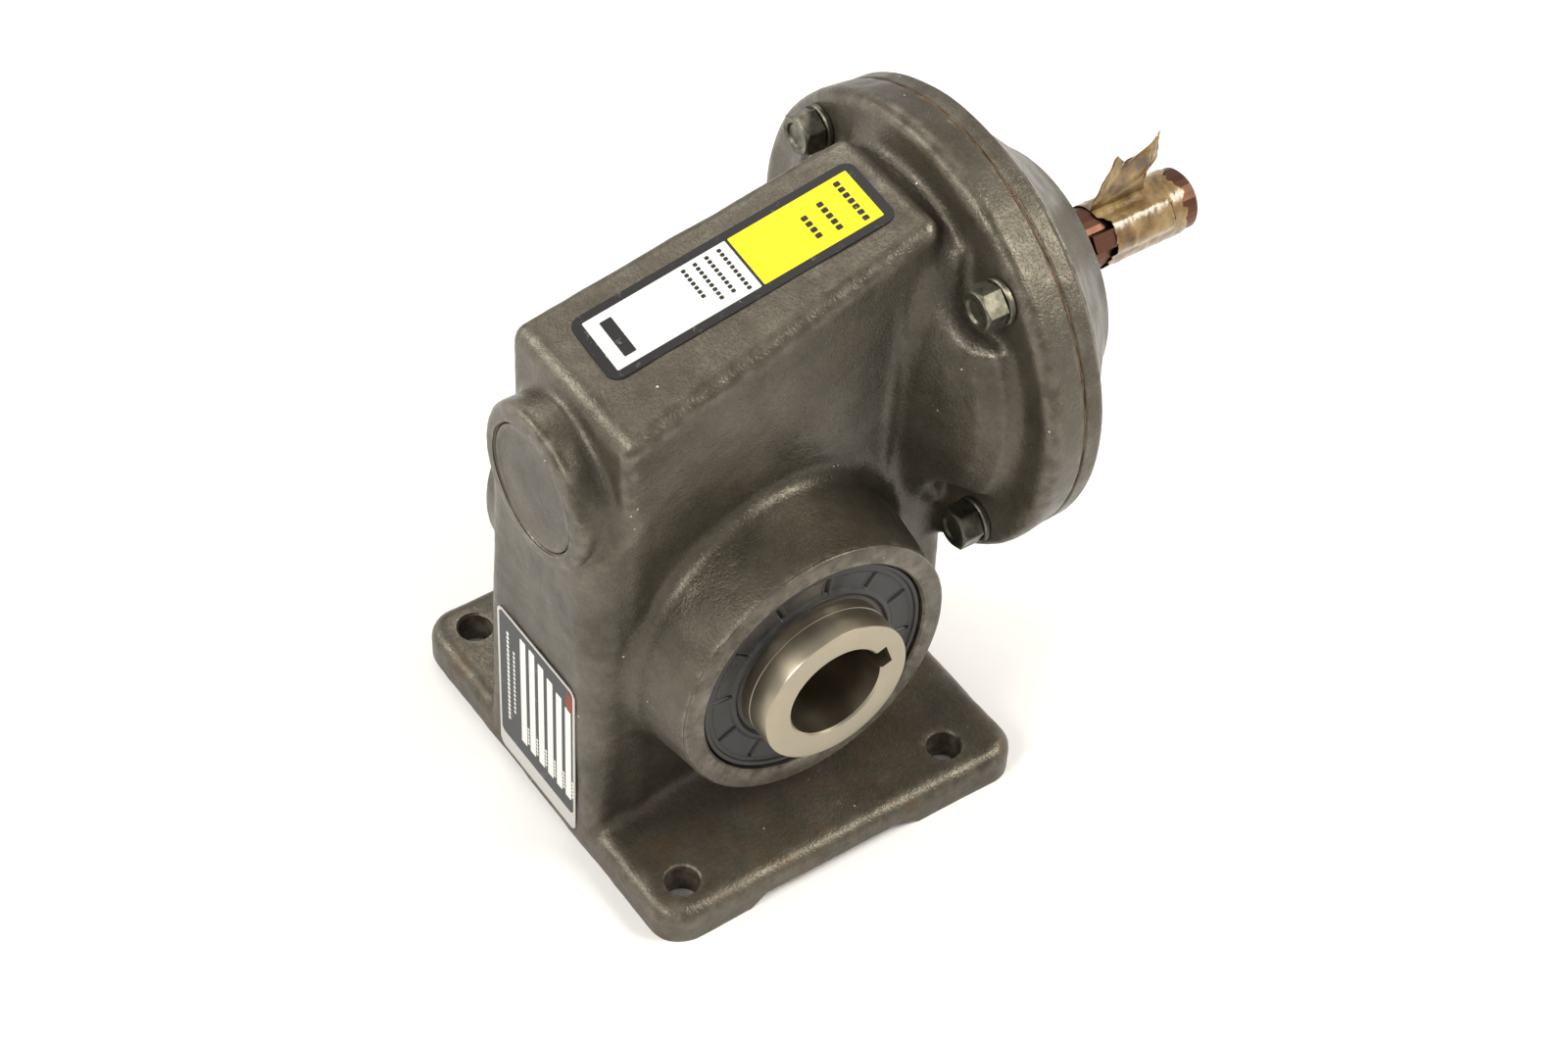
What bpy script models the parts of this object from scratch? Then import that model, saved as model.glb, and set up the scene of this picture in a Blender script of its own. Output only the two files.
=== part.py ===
"""Foot-mounted worm gearbox with a hollow output shaft, as separate pieces.

Frame: X is the output axis, Y the worm and input axis, Z up. The origin is the centre of the foot's
four holes, on the underside of the foot. Lengths in this file are millimetres; MM turns them to metres.
"""

import math

import bmesh
import bpy
from mathutils import Matrix, Vector

MM = 0.001

# Driving dimensions
CENTRES = 50.0                     # worm axis above output axis
OUTPUT_Z = 58.8                    # output axis above the foot's underside
WORM_Z = OUTPUT_Z + CENTRES
MODULE = 2.5
WHEEL_TEETH = 30
WORM_R = 12.5                      # worm pitch radius
WHEEL_R = MODULE * WHEEL_TEETH / 2
LEAD = math.pi * MODULE            # single start
FLANK = math.radians(20)
BACKLASH = 0.25                    # taken from each flank of worm and wheel
START = 0.013                      # turns by which the thread's sections miss the shaft's facet edges

# Foot
FOOT_X = 58.5
FOOT_Y0 = -49.5
FOOT_Y1 = 56.0
FOOT_T = 9.6
FOOT_CORNER = 9.0
HOLE_X = 48.0
HOLE_Y = 38.9
HOLE_R = 4.4
RELIEF_DEPTH = 3.4
RELIEF_REACH = 22.0                # how far the relief runs in from each end of the foot

# Body
BODY_X = 24.5                      # half width at the cap end
BODY_TAPER = 5.3 / 86.0            # narrowing of the half width along Y
BODY_Y0 = -49.6                    # cap-end wall
BODY_Y1 = 58.0                     # lower end wall
BODY_NECK_Y = 47.5                 # upper end wall
BODY_CORNER = 7.0
SHOULDER_Z = (98.0, 112.0)         # the cap-end wall steps back between these heights
UPPER_Y0 = -40.4                   # cap-end wall beside and above the cap boss
TOP_Z = 136.3                      # top edge at the cap end
TOP_Y = -38.0
TOP_SLOPE = 0.25
WALL = 6.0
SIDE_WALL = 5.0
FILL_PLUG = (0.0, 12.0, 122.0)     # on the hidden side wall
DRAIN_PLUG = (0.0, 0.0, 26.0)      # on the end wall under the flange
PLUG_COLLAR_R = 8.0

# Output side
BOSS_R_ROOT = 39.0
BOSS_R_FACE = 36.8
BOSS_X = 44.4
POCKET_R = 31.0
HUB_X = 52.9
HUB_R = 19.3
SEAT_R = 20.0
BORE_R = 12.7
BORE_MOUTH_R = 13.2
KEYWAY_ANGLE = math.radians(18.7)
KEYWAY_W = 6.4
KEYWAY_R = 15.5

# Worm side
CAP_Y = -50.15
CAP_R = 16.1
CAP_BOSS_R = 20.9
FLANGE_R = 57.4
FLANGE_Y = 62.9
SEAT_Y = 52.2                      # bolt seats on the back of the flange
OPENING_R = 42.0                   # wide enough for the wheel to go in
ROOM_Y1 = 56.0                     # the room runs through into the opening
BOLT_CIRCLE_R = 50.2
BOLT_R = 3.0
BOLT_HEX_AF = 10.0
COVER_FACE_Y = 91.5
INPUT_R = 7.9
INPUT_END_Y = 138.0
INPUT_KEY_ANGLE = math.radians(35)
INPUT_KEY_W = 4.76
INPUT_KEY_R = 9.9
INPUT_KEY_Y = (104.0, 129.0)       # its slot in the shaft
WRAP_Y = (109.0, 134.5)

GAP = 0.3
# Facets round a turned piece: odd multiples of 4, so that no facet edge lies on a bolt's radius
ROUND = 44
MEDIUM = 28
SMALL = 20
TINY = 12


def material(name, colour, roughness, metallic):
    """One Principled material."""
    made = bpy.data.materials.new(name)
    made.use_nodes = True
    shader = made.node_tree.nodes["Principled BSDF"]
    shader.inputs["Base Color"].default_value = (*colour, 1.0)
    shader.inputs["Roughness"].default_value = roughness
    shader.inputs["Metallic"].default_value = metallic
    return made


def make(name, points, faces, finish):
    """An object from points in millimetres, with its faces turned outwards."""
    mesh = bpy.data.meshes.new(name)
    mesh.from_pydata([tuple(c * MM for c in p) for p in points], [], faces)
    build = bmesh.new()
    build.from_mesh(mesh)
    bmesh.ops.recalc_face_normals(build, faces=build.faces)
    if build.calc_volume(signed=True) < 0:
        bmesh.ops.reverse_faces(build, faces=build.faces)
    build.to_mesh(mesh)
    build.free()
    if finish is not None:
        mesh.materials.append(finish)
    mesh.shade_smooth()
    mesh.set_sharp_from_angle(angle=math.radians(32))
    thing = bpy.data.objects.new(name, mesh)
    bpy.context.scene.collection.objects.link(thing)
    return thing


def place(axis, centre, r, t, turn):
    """The point at radius r and angle turn round an axis, t along it."""
    a = r * math.cos(turn)
    b = r * math.sin(turn)
    if axis == "X":
        return (t, centre[1] + a, centre[2] + b)
    if axis == "Y":
        return (centre[0] + a, t, centre[2] + b)
    return (centre[0] + a, centre[1] + b, t)


def turned(name, axis, centre, profile, finish, count=ROUND, ring=False):
    """A lathe-turned solid from (radius, place along the axis) points.

    A ring's profile is closed; any other ends in two flat faces.
    """
    turns = [2 * math.pi * k / count for k in range(count)]
    points = [place(axis, centre, r, t, turn) for r, t in profile for turn in turns]
    rows = [list(range(k * count, (k + 1) * count)) for k in range(len(profile))]
    pairs = list(zip(rows, rows[1:]))
    faces = []
    if ring:
        pairs.append((rows[-1], rows[0]))
    else:
        faces += [rows[0], rows[-1]]
    for low, high in pairs:
        for k in range(count):
            n = (k + 1) % count
            faces.append([low[k], low[n], high[n], high[k]])
    return make(name, points, faces, finish)


def cylinder(name, axis, centre, r, start, end, finish=None, count=ROUND):
    return turned(name, axis, centre, [(r, start), (r, end)], finish, count)


def lofted(name, loops, finish):
    """A solid through loops of equal length, closed by its first and last loop."""
    count = len(loops[0])
    points = [p for loop in loops for p in loop]
    faces = [list(range(count)), list(range(len(points) - count, len(points)))]
    for row in range(len(loops) - 1):
        base = row * count
        for k in range(count):
            n = (k + 1) % count
            faces.append([base + k, base + n, base + count + n])
            faces.append([base + k, base + count + n, base + count + k])
    return make(name, points, faces, finish)


def rounded(x, y0, y1, corner, steps=5):
    """A rectangle with round corners as (x, y) points, from -x to x."""
    centres = ((x - corner, y1 - corner, 0), (corner - x, y1 - corner, 90),
               (corner - x, y0 + corner, 180), (x - corner, y0 + corner, 270))
    points = []
    for cx, cy, start in centres:
        for k in range(steps + 1):
            turn = math.radians(start + 90 * k / steps)
            points.append((cx + corner * math.cos(turn), cy + corner * math.sin(turn)))
    return points


def combine(target, operation, others):
    """One Boolean modifier for all of the others together, which become hidden cutters."""
    group = bpy.data.collections.new(f"{target.name}_{operation.lower()}")
    step = target.modifiers.new(group.name, "BOOLEAN")
    step.operation = operation
    step.solver = "EXACT"
    step.operand_type = "COLLECTION"
    step.collection = group
    for other in others:
        group.objects.link(other)
        other.hide_render = True
        other.display_type = "WIRE"
    return target


def apply_all(target):
    """Replace an object's mesh by its evaluated one."""
    view = bpy.context.evaluated_depsgraph_get()
    mesh = bpy.data.meshes.new_from_object(target.evaluated_get(view))
    target.modifiers.clear()
    target.data = mesh
    mesh.shade_smooth()
    mesh.set_sharp_from_angle(angle=math.radians(32))
    return target


def body_half_width(y):
    return BODY_X - BODY_TAPER * (y + 40.0)


def top_height(y):
    return TOP_Z + TOP_SLOPE * (y - TOP_Y)


def bolt_places():
    for k in range(4):
        turn = math.radians(45 + 90 * k)
        yield BOLT_CIRCLE_R * math.cos(turn), WORM_Z + BOLT_CIRCLE_R * math.sin(turn)


# Housing

def foot():
    """The foot plate, with its upper edge rounded in four steps."""
    steps = ((0.0, 0.0), (5.4, 0.0), (7.6, 0.8), (9.0, 2.2), (FOOT_T, 4.2))
    loops = []
    for z, inset in steps:
        outline = rounded(FOOT_X - inset, FOOT_Y0 + inset * 0.5, FOOT_Y1 - inset * 0.6,
                          FOOT_CORNER - inset)
        loops.append([(x, y, z) for x, y in outline])
    return lofted("cut_foot", loops, None)


def body_loop(y0, y1, level, inset=0.0, lean=False):
    """One section of the body, level or following the sloping top."""
    loop = []
    for x, y in rounded(BODY_X - inset, y0 + inset, y1 - inset, BODY_CORNER - inset * 0.5):
        width = body_half_width(y) / BODY_X
        loop.append((x * width, y, (top_height(y) if lean else 0.0) + level))
    return loop


def body():
    """The box of the body: its cap-end wall steps back beside the cap boss, and its top slopes."""
    loops = [
        body_loop(BODY_Y0, BODY_Y1, 3.0),
        body_loop(BODY_Y0, BODY_Y1, 60.0),
        body_loop(BODY_Y0, BODY_NECK_Y, 72.0),
        body_loop(BODY_Y0, BODY_NECK_Y, SHOULDER_Z[0]),
        body_loop(UPPER_Y0, BODY_NECK_Y, SHOULDER_Z[1]),
        body_loop(UPPER_Y0, BODY_NECK_Y, -4.6, lean=True),
        body_loop(UPPER_Y0, BODY_NECK_Y, -1.4, inset=1.2, lean=True),
        body_loop(UPPER_Y0, BODY_NECK_Y, 0.0, inset=3.6, lean=True),
    ]
    return lofted("cut_body", loops, None)


def output_boss(side):
    ends = [(BOSS_R_ROOT + 1.2, side * 15.0), (BOSS_R_ROOT, side * 27.0),
            (BOSS_R_FACE + 0.4, side * (BOSS_X - 1.0)), (BOSS_R_FACE - 0.6, side * BOSS_X)]
    return turned("cut_boss", "X", (0, 0, OUTPUT_Z), ends, None)


def cap_boss():
    profile = [(CAP_BOSS_R - 1.8, CAP_Y), (CAP_BOSS_R - 0.5, CAP_Y + 0.6), (CAP_BOSS_R, CAP_Y + 2.2),
               (CAP_BOSS_R, -30.0)]
    return turned("cut_cap_boss", "Y", (0, 0, WORM_Z), profile, None)


def neck():
    """The flared neck between body and flange, with a scallop round each bolt."""
    profile = [(20.0, 33.0), (25.0, 37.0), (32.0, 40.6), (40.5, 44.8), (46.0, 49.0), (48.0, 53.6)]
    flare = turned("cut_neck", "Y", (0, 0, WORM_Z), profile, None)
    scallops = [cylinder("cut_scallop", "Y", (x, 0, z), 12.2, 28.0, SEAT_Y + 4.0, count=SMALL)
                for x, z in bolt_places()]
    return apply_all(combine(flare, "DIFFERENCE", scallops))


def flange():
    profile = [(54.4, SEAT_Y), (57.2, 53.4), (58.3, 55.6), (FLANGE_R, FLANGE_Y)]
    return turned("cut_flange", "Y", (0, 0, WORM_Z), profile, None, count=ROUND)


def cavity():
    """The hollow inside: a narrowing room for the wheel, less the block that holds the rear bearing."""
    def loop(y0, y1, level, lean=False):
        made = []
        for x, y in rounded(BODY_X - SIDE_WALL, y0, y1, 5.0, steps=2):
            width = (body_half_width(y) - SIDE_WALL) / (BODY_X - SIDE_WALL)
            made.append((x * width, y, (top_height(y) if lean else 0.0) + level))
        return made
    loops = [loop(FOOT_Y0 + WALL, BODY_Y1 - WALL, 14.0), loop(FOOT_Y0 + WALL, BODY_Y1 - WALL, 62.0),
             loop(FOOT_Y0 + WALL, ROOM_Y1, 76.0), loop(FOOT_Y0 + WALL, ROOM_Y1, 90.0),
             loop(UPPER_Y0 + WALL, ROOM_Y1, 104.0), loop(UPPER_Y0 + WALL, ROOM_Y1, -WALL - 1.0, lean=True)]
    room = lofted("cut_room", loops, None)
    keep = cylinder("cut_bearing_block", "Y", (0, 0, WORM_Z), 19.5, -60.0, -32.0, count=SMALL)
    return apply_all(combine(room, "DIFFERENCE", [keep]))


def housing(finish):
    """The cast housing: union of its masses, then its rooms, bores and holes."""
    solid = foot()
    solid.name = "housing"
    solid.data.materials.append(finish)
    combine(solid, "UNION", [body(), output_boss(1), output_boss(-1), cap_boss(), neck(), flange()])
    output = (0, 0, OUTPUT_Z)
    worm = (0, 0, WORM_Z)
    cuts = [
        cavity(),
        cylinder("cut_opening", "Y", worm, OPENING_R, SEAT_Y + 2.3, FLANGE_Y + 5),
        cylinder("cut_eye", "X", output, 27.0, -30.0, 30.0),
        cylinder("cut_cap_bore", "Y", worm, CAP_R + 0.1, CAP_Y - 5, -34.2),
        cylinder("cut_worm_eye", "Y", worm, 12.0, -36.0, -30.0, count=SMALL),
        cylinder("cut_fill_bore", "X", FILL_PLUG, 5.0, -30.0, -10.0, count=SMALL),
        cylinder("cut_drain_bore", "Y", DRAIN_PLUG, 5.0, 40.0, 70.0, count=SMALL),
    ]
    for side in (1, -1):
        cuts.append(cylinder("cut_pocket", "X", output, POCKET_R + 0.1, side * 19.6, side * 50.0))
        cuts.append(cylinder("cut_groove", "X", output, POCKET_R + 1.4, side * 32.4, side * 34.2))
        for y in (-HOLE_Y, HOLE_Y):
            hole = (side * HOLE_X, y, 0)
            cuts.append(cylinder("cut_hole", "Z", hole, HOLE_R, -5.0, 15.0, count=SMALL))
        low, high = sorted((side * (FOOT_X - RELIEF_REACH), side * (FOOT_X + 5)))
        cuts.append(lofted("cut_relief", [
            [(low, -27.0, -1.0), (high, -27.0, -1.0), (high, 26.0, -1.0), (low, 26.0, -1.0)],
            [(low, -21.0, RELIEF_DEPTH), (high, -21.0, RELIEF_DEPTH), (high, 19.5, RELIEF_DEPTH),
             (low, 19.5, RELIEF_DEPTH)]], None))
    for x, z in bolt_places():
        cuts.append(cylinder("cut_bolt_hole", "Y", (x, 0, z), BOLT_R + 0.4, SEAT_Y - 6, FLANGE_Y + 5,
                             count=TINY))
    return combine(solid, "DIFFERENCE", cuts)


# Gears and shafts

def thread():
    """The worm's thread, a trapezium swept along a helix and closed at its ends."""
    root = WORM_R - 3.4
    tip = WORM_R + MODULE
    half = math.pi * MODULE / 4 - BACKLASH
    steps = 16
    turns = 5.0
    section = [(root, half + (WORM_R - root) * math.tan(FLANK)), (tip, half - MODULE * math.tan(FLANK))]
    corners = [(section[0][0], -section[0][1]), (section[1][0], -section[1][1]),
               (section[1][0], section[1][1]), (section[0][0], section[0][1])]
    loops = []
    for k in range(int(steps * turns) + 1):
        turn = 2 * math.pi * (k / steps - turns / 2 + START)
        loop = []
        for r, shift in corners:
            across = -r * math.sin(turn)
            down = -r * math.cos(turn)
            loop.append((across, LEAD * turn / (2 * math.pi) + shift, WORM_Z + down))
        loops.append(loop)
    return lofted("cut_thread", loops, None)


def key_box(name, axis_point, turn, width, r0, r1, start, end, axis, finish=None):
    """A bar lying along an axis, at an angle round it."""
    side = width / 2
    corners = [(r0, -side), (r1, -side), (r1, side), (r0, side)]
    loops = []
    for t in (start, end):
        loop = []
        for r, s in corners:
            a = r * math.cos(turn) - s * math.sin(turn)
            b = r * math.sin(turn) + s * math.cos(turn)
            loop.append((t, axis_point[1] + a, axis_point[2] + b) if axis == "X"
                        else (axis_point[0] + a, t, axis_point[2] + b))
        loops.append(loop)
    return lofted(name, loops, finish)


def worm_shaft(finish):
    profile = [(5.4, -44.6), (6.0, -44.0), (6.0, -33.6), (9.5, -33.6), (9.5, 52.0), (11.5, 54.0),
               (11.5, 66.4), (10.0, 66.4), (10.0, 82.0), (8.1, 82.6), (8.1, 91.0), (INPUT_R, 91.2),
               (INPUT_R, INPUT_END_Y - 1.0), (INPUT_R - 1.0, INPUT_END_Y)]
    shaft = turned("worm_shaft", "Y", (0, 0, WORM_Z), profile, finish, MEDIUM)
    combine(shaft, "UNION", [thread()])
    slot = key_box("cut_slot", (0, 0, WORM_Z), INPUT_KEY_ANGLE, INPUT_KEY_W + 0.1, 5.4, 12.0,
                   *INPUT_KEY_Y, "Y")
    return combine(shaft, "DIFFERENCE", [slot])


def tooth_outline(lean):
    """The wheel's outline at one section, turned by lean, as (y, z) points round its own centre."""
    base = WHEEL_R * math.cos(FLANK)
    root = WHEEL_R - 1.2 * MODULE
    tip = WHEEL_R + MODULE - 0.2
    half = (math.pi * MODULE / 4 - BACKLASH) / WHEEL_R
    swell = math.tan(FLANK) - FLANK

    def half_angle(r):
        press = math.acos(min(1.0, base / r))
        return half + swell - (math.tan(press) - press)

    radii = (root, base + 0.6, WHEEL_R, tip)
    points = []
    for tooth in range(WHEEL_TEETH):
        middle = math.pi / 2 + 2 * math.pi * (tooth + 0.5) / WHEEL_TEETH + lean
        for r in radii:
            points.append((r, middle - half_angle(max(r, base))))
        for r in reversed(radii):
            points.append((r, middle + half_angle(max(r, base))))
    return [(r * math.cos(turn), r * math.sin(turn)) for r, turn in points]


def worm_wheel(finish):
    """The bronze wheel, its teeth leaning with the worm's lead angle."""
    half_width = 10.0
    tilt = LEAD / (2 * math.pi * WORM_R) / WHEEL_R
    loops = []
    for k in range(3):
        x = half_width * (k - 1)
        loops.append([(x, y, OUTPUT_Z + z) for y, z in tooth_outline(tilt * x)])
    wheel = lofted("worm_wheel", loops, finish)
    centre = (0, 0, OUTPUT_Z)
    recess = ((26.0, 6.5), (32.0, 6.5), (32.0, 15.0), (26.0, 15.0))
    recesses = [turned("cut_recess", "X", centre, [(r, side * t) for r, t in recess], None, SMALL, ring=True)
                for side in (1, -1)]
    bore = cylinder("cut_wheel_bore", "X", centre, SEAT_R + GAP, -15.0, 15.0)
    slot = key_box("cut_wheel_slot", centre, math.pi, 6.2, 18.0, 23.4, -15.0, 15.0, "X")
    return combine(wheel, "DIFFERENCE", [bore, slot] + recesses)


def output_shaft(finish):
    half = [(BORE_MOUTH_R, HUB_X), (HUB_R - 0.6, HUB_X), (HUB_R, HUB_X - 0.6), (HUB_R, 34.6),
            (SEAT_R, 34.0)]
    mirrored = [(r, -t) for r, t in reversed(half)]
    profile = half + mirrored + [(BORE_R, -HUB_X + 0.6), (BORE_R, HUB_X - 0.6)]
    centre = (0, 0, OUTPUT_Z)
    shaft = turned("output_shaft", "X", centre, profile, finish, ring=True)
    keyway = key_box("cut_keyway", centre, KEYWAY_ANGLE, KEYWAY_W, 5.0, KEYWAY_R, -60.0, 60.0, "X")
    seat = key_box("cut_key_seat", centre, math.pi, 6.2, 17.0, 24.0, -9.2, 9.2, "X")
    return combine(shaft, "DIFFERENCE", [keyway, seat])


# Bearings, seals and small pieces

def bearing(name, axis, centre, start, end, radii, balls, finish):
    """Outer ring, inner ring, and the balls held in one cage."""
    bore, inner, outer, rim = radii
    middle = (start + end) / 2
    pitch = (inner + outer) / 2
    ball_r = (outer - inner) / 2 - GAP
    dip = 0.8
    outer_profile = [(rim, start), (rim, end), (outer, end), (outer + dip, middle), (outer, start)]
    inner_profile = [(bore, start), (bore, end), (inner, end), (inner - dip, middle), (inner, start)]
    turned(name + "_outer", axis, centre, outer_profile, finish, MEDIUM, ring=True)
    turned(name + "_inner", axis, centre, inner_profile, finish, MEDIUM, ring=True)
    cage = turned(name + "_balls", axis, centre,
                  [(pitch - 0.5, middle - 1.2), (pitch - 0.5, middle + 1.2), (pitch + 0.5, middle + 1.2),
                   (pitch + 0.5, middle - 1.2)], finish, TINY, ring=True)
    spheres = []
    for k in range(balls):
        spot = place(axis, centre, pitch, middle, 2 * math.pi * (k + 0.5) / balls)
        build = bmesh.new()
        bmesh.ops.create_icosphere(build, subdivisions=1, radius=(ball_r + 0.1) * MM)
        bmesh.ops.translate(build, verts=build.verts, vec=Vector(spot) * MM)
        mesh = bpy.data.meshes.new("cut_ball")
        build.to_mesh(mesh)
        build.free()
        ball = bpy.data.objects.new("cut_ball", mesh)
        bpy.context.scene.collection.objects.link(ball)
        spheres.append(ball)
    combine(cage, "UNION", spheres)


def circlip(name, axis, centre, r0, r1, start, end, finish):
    """A retaining ring with a gap."""
    count = 24
    loops = []
    for k in range(count + 1):
        turn = math.radians(110 + 320 * k / count)
        loops.append([place(axis, centre, r, t, turn)
                      for r, t in ((r0, start), (r1, start), (r1, end), (r0, end))])
    return lofted(name, loops, finish)


def output_seal(name, side, finish):
    """A rubber shaft seal, recessed between its rim and its lip."""
    half = [(30.8, 35.0), (30.8, 43.4), (29.2, 43.4), (28.4, 42.3), (24.0, 42.3), (22.6, 43.0),
            (19.5, 42.6), (22.0, 35.0)]
    profile = [(r, side * t) for r, t in half]
    return turned(name, "X", (0, 0, OUTPUT_Z), profile, finish, MEDIUM, ring=True)


def flange_bolt(name, x, z, finish):
    """A hexagon bolt whose head faces the cap end."""
    head_end = 44.7
    seat = SEAT_Y - 1.9
    hexagon = []
    corner = BOLT_HEX_AF / math.sqrt(3)
    for y, r in ((head_end, corner - 0.8), (head_end + 0.5, corner), (seat, corner)):
        hexagon.append([place("Y", (x, 0, z), r, y, math.radians(60 * k + 15)) for k in range(6)])
    head = lofted(name, hexagon, finish)
    dish = turned("cut_dish", "Y", (x, 0, z), [(3.2, head_end - 1), (2.4, head_end + 0.7)], None, TINY)
    shank = cylinder("cut_shank", "Y", (x, 0, z), BOLT_R, seat - 1.0, 68.0, count=TINY)
    combine(head, "UNION", [shank])
    return combine(head, "DIFFERENCE", [dish])


def hex_plug(name, axis, centre, face, outward, finish):
    """A screw plug: hexagon, collar and a short threaded end, from the face inwards."""
    collar = turned(name, axis, centre,
                    [(PLUG_COLLAR_R, face + 0.3 * outward), (PLUG_COLLAR_R, face + 2.3 * outward)],
                    finish, SMALL)
    loops = [[place(axis, centre, 6.9, face + t * outward, math.radians(60 * k)) for k in range(6)]
             for t in (1.5, 7.0)]
    hexagon = lofted("cut_hexagon", loops, None)
    low, high = sorted((face - 4.5 * outward, face + 1.0 * outward))
    plug_end = cylinder("cut_plug_end", axis, centre, 4.7, low, high, count=SMALL)
    return combine(collar, "UNION", [hexagon, plug_end])


def input_cover(finish):
    """The domed cover that holds the front bearing and the input seal."""
    outside = [(41.7, 60.4), (41.7, 63.5), (FLANGE_R, 63.5), (FLANGE_R, 68.0), (56.2, 69.4), (51.0, 72.0),
               (31.4, 89.4), (28.8, COVER_FACE_Y)]
    inside = [(17.7, COVER_FACE_Y), (17.7, 83.6), (14.0, 83.6), (14.0, 81.6), (23.7, 81.6), (23.7, 66.8),
              (24.9, 66.8), (24.9, 64.6), (23.7, 64.6), (23.7, 60.4)]
    profile = outside + inside
    cover = turned("input_cover", "Y", (0, 0, WORM_Z), profile, finish, count=ROUND, ring=True)
    holes = [cylinder("cut_cover_hole", "Y", (x, 0, z), BOLT_R + 0.3, 60.0, 69.0, count=TINY)
             for x, z in bolt_places()]
    return combine(cover, "DIFFERENCE", holes)


def gasket(finish):
    profile = [(43.0, 63.0), (43.0, 63.4), (FLANGE_R - 0.5, 63.4), (FLANGE_R - 0.5, 63.0)]
    sheet = turned("cover_gasket", "Y", (0, 0, WORM_Z), profile, finish, count=ROUND, ring=True)
    holes = [cylinder("cut_gasket_hole", "Y", (x, 0, z), BOLT_R + 0.4, 60.0, 69.0, count=TINY)
             for x, z in bolt_places()]
    return combine(sheet, "DIFFERENCE", holes)


def oil_label(finish):
    """The sticker on the sloping top, set slightly askew."""
    half_width = 10.8
    half_length = 36.6
    centre = Vector((-2.2, 4.8, 0))
    skew = Matrix.Rotation(math.radians(-3.5), 3, "Z")
    loops = []
    for lift in (0.1, 0.4):
        loop = []
        for x, y in rounded(half_width, -half_length, half_length, 3.0, steps=3):
            spot = centre + skew @ Vector((x, y, 0))
            loop.append((spot.x, spot.y, top_height(spot.y) + lift))
        loops.append(loop)
    return lofted("oil_label", loops, finish)


def nameplate(finish):
    loops = []
    for y in (-50.2, -49.8):
        loops.append([(x + 0.2, y, z) for x, z in rounded(17.4, 3.2, 54.7, 2.4, steps=3)])
    return lofted("nameplate", loops, finish)


def shaft_wrap(finish):
    """The waxed paper round the input shaft: a sleeve that bulges over the key, and a torn flap."""
    count = SMALL

    def outline(extra):
        points = []
        for k in range(count):
            turn = 2 * math.pi * k / count
            off = math.atan2(math.sin(turn - INPUT_KEY_ANGLE), math.cos(turn - INPUT_KEY_ANGLE))
            swell = max(0.0, 1.0 - max(0.0, abs(off) - 0.32) / 0.42)
            points.append((INPUT_R + 0.25 + 2.3 * swell + extra, turn))
        return points

    inner = outline(0.0)
    outer = outline(0.35)
    ends = WRAP_Y
    loops = [[place("Y", (0, 0, WORM_Z), r, ends[0], turn) for r, turn in inner],
             [place("Y", (0, 0, WORM_Z), r, ends[0], turn) for r, turn in outer],
             [place("Y", (0, 0, WORM_Z), r, ends[1], turn) for r, turn in outer],
             [place("Y", (0, 0, WORM_Z), r, ends[1], turn) for r, turn in inner]]
    points = [p for loop in loops for p in loop]
    faces = []
    for row in range(4):
        low = row * count
        high = (row + 1) % 4 * count
        for k in range(count):
            n = (k + 1) % count
            faces.append([low + k, low + n, high + n, high + k])
    sleeve = make("shaft_wrap", points, faces, finish)
    flap = [(109.3, 8.2), (126.5, 8.2), (128.0, 15.0), (129.2, 24.6), (119.5, 18.2), (116.5, 21.8),
            (111.5, 17.5)]
    loops = [[(x, y, WORM_Z + z) for y, z in flap] for x in (-0.3, 0.3)]
    return combine(sleeve, "UNION", [lofted("cut_flap", loops, None)])


def hang(name, point, pieces):
    """Parent moving pieces to an empty on their joint's axis, leaving them where they are."""
    pivot = bpy.data.objects.new(name, None)
    pivot.location = Vector(point) * MM
    bpy.context.scene.collection.objects.link(pivot)
    for piece in pieces:
        thing = bpy.data.objects[piece]
        thing.parent = pivot
        thing.matrix_parent_inverse = Matrix.Translation(-pivot.location)


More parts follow.
